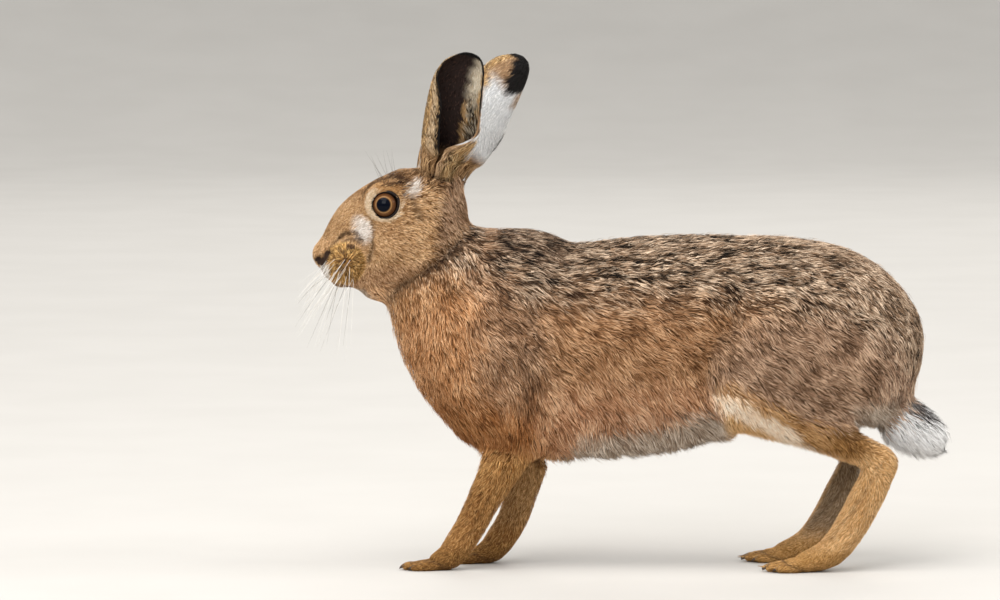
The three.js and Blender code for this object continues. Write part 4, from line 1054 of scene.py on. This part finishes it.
def tones(at, mean, spread, pale, black):
    """Tones drawn round a mean, with black marks and pale edges, half as large on the head as on the back."""
    mark, edge = ticking(at * (1 + head[:, None]))
    drawn = seeds.normal(mean, spread, COAT_TUFTS)
    return drawn * bold + common + (pale * edge - black * mark) * grizzle


tone = tones(middles, 0.0, 0.45, 0.3, 1.2)
tip_tone = tones(tips, 0.4, 0.4, 0.6, 1.5)
dark_tips = seeds.uniform(0, 1, COAT_TUFTS) < DARK_TIPS
tip_tone += 0.5 * guard - 1.2 * dark_tips * (1 - guard)
# painted light: the roots of pale fur are kept lighter, as light shines through them
root_dark_and_shade = TUFT_ROOT_DARK_AND_SHADE + 0.36 * ramp(coats[:, 1].mean(axis=1), 0.35, 0.7)
colours = tuft_colours(coats, tone, tip_tone, root_dark_and_shade[:, None])

parts = np.full(COAT_TUFTS, "trunk", dtype=object)
parts[head > 0.5] = "head"
parts[in_foreleg(roots) > 0.5] = "foreleg"
parts[in_hind_leg(roots) > 0.5] = "hind leg"
parts[in_tail(roots) > 0.5] = "tail"
SLOTS = [
    ("trunk", "back_fur"), ("head", "face_fur"), ("foreleg", "leg_fur"), ("hind leg", "leg_fur"),
    ("tail", "tail_fur"),
]
for part, slot in SLOTS:
    own = np.flatnonzero(parts == part)
    own = own[np.argsort(roots[own, 0])]
    for number, row in enumerate(np.array_split(own, math.ceil(len(own) / PIECE_TUFTS))):
        name = f"coat_{part.replace(' ', '_')}_{number + 1}"
        picked = [made[row] for made in (roots, middles, tips, root_ways, middle_ways, width, colours)]
        tufts(name, slot, *picked, laid_flat(part, roots[row], root_ways[row]))

# The coat of the ears: a short dense pile up both faces, longer hairs over the slit at the root, where ear
# and head run together, and a white fringe at the foot of the open part.
EAR_TUFTS = 16000
# how much of its colour a tuft's root keeps: the hairs' dark bases and painted shade in the pile
EAR_ROOT_DARK_AND_SHADE = 0.85
EAR_HEIGHT = 110  # mm up the ear that v counts from 0 to 1
EAR_INNER_SHARE = 0.36  # of the short pile, on the inner face
# each pile's share of an ear's tufts, its span round the ear, up it and of lengths, how high the tips stand,
# and how far out and how far below their place the tufts have their roots
EAR_PILES = [
    (0.88, (0, 1), (0, 0.985), (2.0, 3.6), 0.65, 0, 0),
    (0.035, (0.8, 1), (0.02, 0.26), (7, 12), 2.2, 0, 0),
    (0.055, (0, 1), (0.0, 0.07), (9, 15), 1.0, 3.4, 5),
    (0.015, (0, 0.03), (0.15, 0.8), (4, 6), 1.4, 0, 0),
    (0.015, (0.9, 1), (0.27, 0.38), (5, 8), 1.6, 0, 0),
]


def ear_pile(ear, inner_share, share, round_span, up_span, long_span, height, root_out, root_drop):
    """One pile of an ear, a share of it on the inner face."""
    count = int(EAR_TUFTS / 2 * share)
    along = seeds.uniform(*up_span, count)
    v = np.interp(along, EAR_LEAF[:, 0], np.linspace(0, 1, len(EAR_LEAF)))
    u = seeds.uniform(*round_span, count)
    inner = (seeds.uniform(0, 1, count) < inner_share).astype(float)
    long = seeds.uniform(*long_span, count)
    drift = seeds.normal(0, 0.004, count) * long

    def raised(share, height):
        up = np.clip(v + long / EAR_HEIGHT * share, 0, 1)
        face = np.where(inner > 0, ear_wall(up) - EAR_PILE + height, EAR_PILE - height)
        return ear_point(ear, np.clip(u + drift * share, 0, 1), up, face)

    way = unit(raised(0, 1) - raised(0, 0))
    root = raised(0, root_out) - np.array((Vector(ear["tip"]) - Vector(ear["root"])).normalized()) * root_drop
    middle = raised(0.45, max(height, root_out) * 0.7)
    coats = ear_coat(u, v, inner, np.full(count, max(0, ear["side"])))
    tone = seeds.normal(0, 0.85, count)
    colours = tuft_colours(coats, tone, tone + 0.3, EAR_ROOT_DARK_AND_SHADE)
    width = seeds.uniform(0.38, 0.66, count)
    flat = np.column_stack([u + inner * 1.1, v])
    return root, middle, raised(1, height), way, way, width, colours, flat


for name, ear in EARS.items():
    piles = [ear_pile(ear, EAR_INNER_SHARE, *EAR_PILES[0])]
    piles += [ear_pile(ear, 0, *pile) for pile in EAR_PILES[1:]]
    tufts(f"coat_ear_{name}", "ear_fur", *(np.concatenate(part) for part in zip(*piles)))

# The eyes: wet balls in the sockets of the skin, with a wide black pupil, a ring of gold round it and an
# amber iris that darkens outwards. The colours are kept in the mesh, under a clear moist coat.
EYE_SEGMENTS = 64
EYE_RINGS = 48
# the pupil is black, tinted blue as a painted reflection of the sky
PUPIL = paint(3, 6, 18)
AMBER = paint(100, 66, 38)
GOLD_RING = paint(176, 134, 86)
DARK_IRIS = paint(70, 40, 20)
EYE_RIM = paint(20, 12, 8)
WET = {
    "Roughness": 0.4, "Specular IOR Level": 0.0, "Coat Weight": 0.4, "Coat Roughness": 0.02, "Coat IOR": 1.3,
}
eye_material = kept_colour("wet eye", "eye", 1500, 2, (0, 1), (0.75, 1.25), WET)[0]


def eyeball(side, sign):
    """A ball whose pole looks out of the head."""
    facing = eye_ways(sign)[0]
    mesh = bpy.data.meshes.new("eyeball_" + side)
    ball = bmesh.new()
    turn = facing.to_track_quat("Z", "Y").to_matrix().to_4x4()
    place = Matrix.Translation(EYE_CENTRE[side] * MM) @ turn
    fineness = {"u_segments": EYE_SEGMENTS, "v_segments": EYE_RINGS}
    bmesh.ops.create_uvsphere(ball, radius=EYE_RADIUS * MM, matrix=place, **fineness)
    for face in ball.faces:
        face.smooth = True
    ball.to_mesh(mesh)
    ball.free()
    p = (places(mesh) - np.array(EYE_CENTRE[side])) / EYE_RADIUS
    tilt = np.degrees(np.arccos(np.clip(p @ np.array(facing), -1, 1)))
    long = facing.cross(Vector((0, 0, 1))).normalized()
    high = long.cross(facing)
    spoke = np.arctan2(p @ np.array(high), p @ np.array(long))
    fibres = 0.5 * np.sin(spoke * 37 + 2 * np.sin(spoke * 5)) + 0.5 * np.sin(spoke * 61 + tilt * 0.2)
    colour = np.repeat(PUPIL[None], len(p), axis=0)
    iris = ramp(tilt, 33, 35)
    for dye, mask in (
        (AMBER * (1 + 0.3 * fibres[:, None]), iris),
        (GOLD_RING, 0.85 * iris * ramp(tilt, 39.5, 36.5)),
        (DARK_IRIS, 0.8 * ramp(tilt, 43, 53)),
        (EYE_RIM, ramp(tilt, 56, 61)),
    ):
        colour += (dye - colour) * mask[:, None]
    tinted(mesh, "eye", np.clip(colour, 0, 1))
    piece = bpy.data.objects.new(mesh.name, mesh)
    scene.collection.objects.link(piece)
    mesh.materials.append(eye_material)
    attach(piece, "root")
    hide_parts("eye_" + side)


for side, sign in SIDES.items():
    eyeball(side, sign)

# The lids: a bare dark rim of moist skin round each eye, thicker above, drawn out in front to the corner
# where tears gather. Each is one closed tube that lies against the eyeball.
LID_OUT = 4.3  # how far the rim stands out from the eye's centre
LID_SEGMENTS = 72
LID_THICK = 1.25
TUBE_GUIDE = (0.31, 0.42, 0.85)  # a way that no tube runs along


def tube(path, radii, sides, closed=False):
    """Points and faces of a round tube along a path, in mm; it may run back into itself."""
    path = np.array(path, float)
    ahead = np.roll(path, -1, axis=0) - np.roll(path, 1, axis=0)
    if not closed:
        ahead[0] = path[1] - path[0]
        ahead[-1] = path[-1] - path[-2]
    ahead = unit(ahead)
    across = unit(np.cross(ahead, TUBE_GUIDE))
    up = np.cross(ahead, across)
    points = []
    for k in range(sides):
        angle = 2 * math.pi * k / sides
        points.append(path + (across * math.cos(angle) + up * math.sin(angle)) * np.array(radii)[:, None])
    points = np.stack(points, axis=1).reshape(-1, 3)
    count = len(path)
    faces = []
    for i in range(count if closed else count - 1):
        j = (i + 1) % count
        for k in range(sides):
            m = (k + 1) % sides
            faces.append((i * sides + k, j * sides + k, j * sides + m, i * sides + m))
    if not closed:
        faces.append(tuple(range(sides)))
        faces.append(tuple((count - 1) * sides + k for k in reversed(range(sides))))
    return points, faces


def smooth_object(name, points, faces, material):
    """An object with a smooth surface through points in metres."""
    mesh = bpy.data.meshes.new(name)
    mesh.from_pydata(points, [], faces)
    for polygon in mesh.polygons:
        polygon.use_smooth = True
    mesh.materials.append(material)
    made = bpy.data.objects.new(name, mesh)
    scene.collection.objects.link(made)
    return made


def joined(name, made, material):
    """One piece from several lists of points and faces, in mm."""
    points = np.vstack([part[0] for part in made])
    faces = []
    start = 0
    for part_points, part_faces in made:
        faces += [tuple(k + start for k in face) for face in part_faces]
        start += len(part_points)
    piece = smooth_object(name, (points * MM).tolist(), faces, material)
    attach(piece, "root")


def lid_rim(side, sign):
    """The closed tube of one eye's lids."""
    facing, long, short = eye_ways(sign)
    path, radii = [], []
    for i in range(LID_SEGMENTS):
        turn = 2 * math.pi * i / LID_SEGMENTS
        corner = max(0.0, -math.cos(turn)) ** 14
        rear = max(0.0, math.cos(turn)) ** 20
        reach = LID_RING * (1 + 0.2 * corner + 0.04 * rear)
        place = long * math.cos(turn) * reach * LID_STRETCH + short * math.sin(turn) * reach
        path.append(np.array(EYE_CENTRE[side] + place + facing * (LID_OUT - 1.4 * corner - 0.5 * rear)))
        radii.append(LID_THICK + 0.4 * max(0.0, math.sin(turn)) + 0.8 * corner)
    return tube(path, radii, 8, closed=True)


def mottled(name, dark, light, scale, roughness, specular=0.5):
    """A material whose colour drifts between a dark and a light one, and whose gloss drifts with it."""
    material, nodes, finish = shader(name, {"Specular IOR Level": specular})
    drift = noise(nodes, scale, 4)
    colours = nodes.new("ShaderNodeValToRGB")
    for stop, position, colour in zip(colours.color_ramp.elements, (0.35, 0.65), (dark, light)):
        stop.position = position
        stop.color = (*colour, 1)
    link(nodes, drift, colours.inputs["Fac"])
    link(nodes, colours.outputs["Color"], finish.inputs["Base Color"])
    gloss = nodes.new("ShaderNodeMapRange")
    gloss.inputs["To Min"].default_value = roughness - 0.08
    gloss.inputs["To Max"].default_value = roughness + 0.08
    link(nodes, drift, gloss.inputs["Value"])
    link(nodes, gloss.outputs["Result"], finish.inputs["Roughness"])
    return material


lid_material = mottled("dark moist skin", paint(14, 8, 6), paint(34, 22, 17), 900, 0.5, specular=0.2)
joined("lids", [lid_rim(side, sign) for side, sign in SIDES.items()], lid_material)

# The whiskers: stiff tapered hairs, white and mostly long, that grow in rows from the pads of the upper lip,
# with a few dark ones among them and some finer ones over the eyes.
WHISKER_ROOT = (-258, 267)  # the foremost of the top row
WHISKER_FRONT = -288  # none reaches further
WHISKER_ROWS = 5
ROW_WHISKERS = 6
BROW_WHISKERS = 5
WHISKER_APART = (3.4, 3.6)  # along a row, and from row to row
WHISKER_THICK = 0.17
BROW_THICK = 0.13
whisker_seeds = np.random.default_rng(11)


def whisker(root, way, sag, length, thick):
    """A tapered hair that leaves its root along a way and sags."""
    share = np.linspace(0, 1, 9)
    path = root + way * share[:, None] * length + np.array([0.0, 0.0, -1.0]) * (sag * share**2)[:, None]
    return tube(path, thick * (1 - 0.86 * share), 5)


def whiskers(sign):
    """The white and the dark whiskers of one side."""
    white, dark = [], []
    for i in range(WHISKER_ROWS * ROW_WHISKERS):
        row, place = divmod(i, ROW_WHISKERS)
        x = WHISKER_ROOT[0] + place * WHISKER_APART[0] + whisker_seeds.uniform(-0.8, 0.8)
        z = WHISKER_ROOT[1] - row * WHISKER_APART[1] + whisker_seeds.uniform(-0.6, 0.6)
        start = over_skin(np.array([[x, sign * 14.0, z]]), np.array([-1.0]))[0][0]
        slope = math.radians(whisker_seeds.uniform(22, 62) + place * 6)
        way = np.array([-math.cos(slope), sign * whisker_seeds.uniform(0.25, 0.8), -math.sin(slope)])
        room = (start[0] - WHISKER_FRONT) / max(math.cos(slope), 0.05) * math.hypot(*way)
        length = min(whisker_seeds.uniform(50, 90), room)
        made = whisker(start, way / math.hypot(*way), whisker_seeds.uniform(2, 9), length, WHISKER_THICK)
        (dark if i % 7 == 3 else white).append(made)
    for i in range(BROW_WHISKERS):
        start = over_skin(np.array([[-214.0 + i * 3, sign * 18.0, 332.0]]), np.array([-1.0]))[0][0]
        way = np.array([[whisker_seeds.uniform(-0.6, 0.0), sign * 0.45, whisker_seeds.uniform(0.7, 1.0)]])
        dark.append(whisker(start, unit(way)[0], -2.0, whisker_seeds.uniform(18, 36), BROW_THICK))
    return white, dark


white_whisker = mottled("white whisker", paint(222, 216, 206), paint(248, 246, 242), 160, 0.4)
dark_whisker = mottled("dark whisker", paint(40, 30, 24), paint(78, 62, 50), 160, 0.4)
left, right = (whiskers(sign) for sign in SIDES.values())
joined("whiskers_white", left[0] + right[0], white_whisker)
joined("whiskers_dark", left[1] + right[1], dark_whisker)

# The claws: short dark horn, worn blunt, one on each toe of the four feet. Each is a tapered tube that bends
# down from the tip of its toe, half hidden in the hair.
FOREPAW = {"ball": -155.98, "reach": 38, "radius": 4.6, "spread": 17, "track": 24, "step": FORE_STEP}
HIND_FOOT = {"ball": 161.02, "reach": 43, "radius": 5.6, "spread": 21, "track": 36, "step": HIND_STEP}
TOES = 4
# a claw's bent line, ahead of the toe's tip and up from the floor, and its radii, by the radius of the toe
CLAW_LINE = [(0.1, 0.95), (0.75, 0.78), (1.35, 0.3)]
CLAW_RADII = [0.3, 0.3, 0.28, 0.25, 0.2, 0.13, 0.05]


def claws(foot, sign):
    """The claws of one foot, each along a bent line from its start to its point."""
    made = []
    along = np.linspace(0, 1, len(CLAW_RADII))[:, None]
    for i in range(TOES):
        share = i / (TOES - 1) - 0.5
        step = foot["step"] if sign > 0 else 0
        radius = foot["radius"]
        tip_x = foot["ball"] + step - foot["reach"] * (1 - 0.9 * share * share)
        y = sign * foot["track"] + share * foot["spread"] + share * 3
        start, bend, end = (np.array([tip_x - radius * x, y, radius * z]) for x, z in CLAW_LINE)
        path = start * (1 - along) ** 2 + bend * 2 * along * (1 - along) + end * along**2
        made.append(tube(path, radius * np.array(CLAW_RADII), 8))
    return made


all_claws = [claw for foot in (FOREPAW, HIND_FOOT) for sign in SIDES.values() for claw in claws(foot, sign)]
joined("claws", all_claws, mottled("dark horn", paint(38, 28, 22), paint(84, 68, 54), 500, 0.42))

# The studio: a round pale floor that curves up softly on every side, a broad soft lamp above and in front,
# and softer ones around. Its sizes are in metres.
FLOOR_REACH = 6.0
BEND = 5.0  # the radius of the curve
BEND_TURN = 60
ROUND_STEPS = 96
BEND_STEPS = 24


def backdrop():
    """The floor, a flat disc with its curved rim."""
    profile = []
    for i in range(BEND_STEPS + 1):
        turn = math.radians(BEND_TURN) * i / BEND_STEPS
        profile.append((FLOOR_REACH + BEND * math.sin(turn), BEND - BEND * math.cos(turn)))
    points = []
    for reach, z in profile:
        for k in range(ROUND_STEPS):
            angle = 2 * math.pi * k / ROUND_STEPS
            points.append((reach * math.cos(angle), reach * math.sin(angle), z))
    faces = [tuple(range(ROUND_STEPS))]
    for i in range(len(profile) - 1):
        for k in range(ROUND_STEPS):
            m = (k + 1) % ROUND_STEPS
            low, high = i * ROUND_STEPS, (i + 1) * ROUND_STEPS
            faces.append((low + m, low + k, high + k, high + m))
    paper = mottled("pale paper", (0.55, 0.535, 0.51), (0.57, 0.555, 0.53), 6, 0.85)
    floor = smooth_object("backdrop", points, faces, paper)


def lamp(name, place, aim, size, power, colour):
    """A broad lamp at a place, turned to what it is aimed at."""
    light = bpy.data.lights.new(name, "AREA")
    light.shape = "RECTANGLE"
    light.size, light.size_y = size
    light.energy = power
    light.color = colour
    stand = bpy.data.objects.new(name, light)
    stand.location = place
    stand.rotation_euler = (Vector(aim) - Vector(place)).to_track_quat("-Z", "Y").to_euler()
    scene.collection.objects.link(stand)


backdrop()
lamp("overhead", (-1.2, -1.6, 4.2), (0, 0, 0.2), (4.0, 3.2), 165, (1.0, 0.97, 0.93))
lamp("fill", (-2.2, -5.2, 3.4), (0, 0, 0.2), (3.6, 2.4), 145, (0.97, 0.98, 1.0))
lamp("rear", (4.0, -0.6, 3.2), (0.1, 0, 0.25), (2.4, 2.4), 88, (1.0, 0.98, 0.95))
lamp("far side", (0.8, 5.2, 3.6), (0, 0, 0.25), (3.6, 2.4), 88, (1.0, 0.98, 0.95))
studio = bpy.data.worlds.new("studio")
studio.use_nodes = True
sky = studio.node_tree.nodes["Background"]
sky.inputs["Color"].default_value = (0.80, 0.79, 0.77, 1)
sky.inputs["Strength"].default_value = 0.95
scene.world = studio
scene.view_settings.view_transform = "Standard"

# The view: a long lens level with the hare's back and a little above it, square to its left side, and so far
# off that near and far legs hardly differ in size.
VIEW_CENTRE = Vector((-0.1129, 0.0, 0.2305))
VIEW_RISE = math.radians(4.5)
VIEW_DISTANCE = 5.0
VIEW_WIDTH = 0.860  # at the middle plane of the body, in metres
camera = bpy.data.objects.new("camera", bpy.data.cameras.new("camera"))
camera.data.sensor_width = 36
camera.data.lens = camera.data.sensor_width * VIEW_DISTANCE / VIEW_WIDTH
camera.location = VIEW_CENTRE + Vector((0, -math.cos(VIEW_RISE), math.sin(VIEW_RISE))) * VIEW_DISTANCE
camera.rotation_euler = (math.radians(90) - VIEW_RISE, 0, 0)
camera.data.clip_end = 50
scene.collection.objects.link(camera)
scene.camera = camera
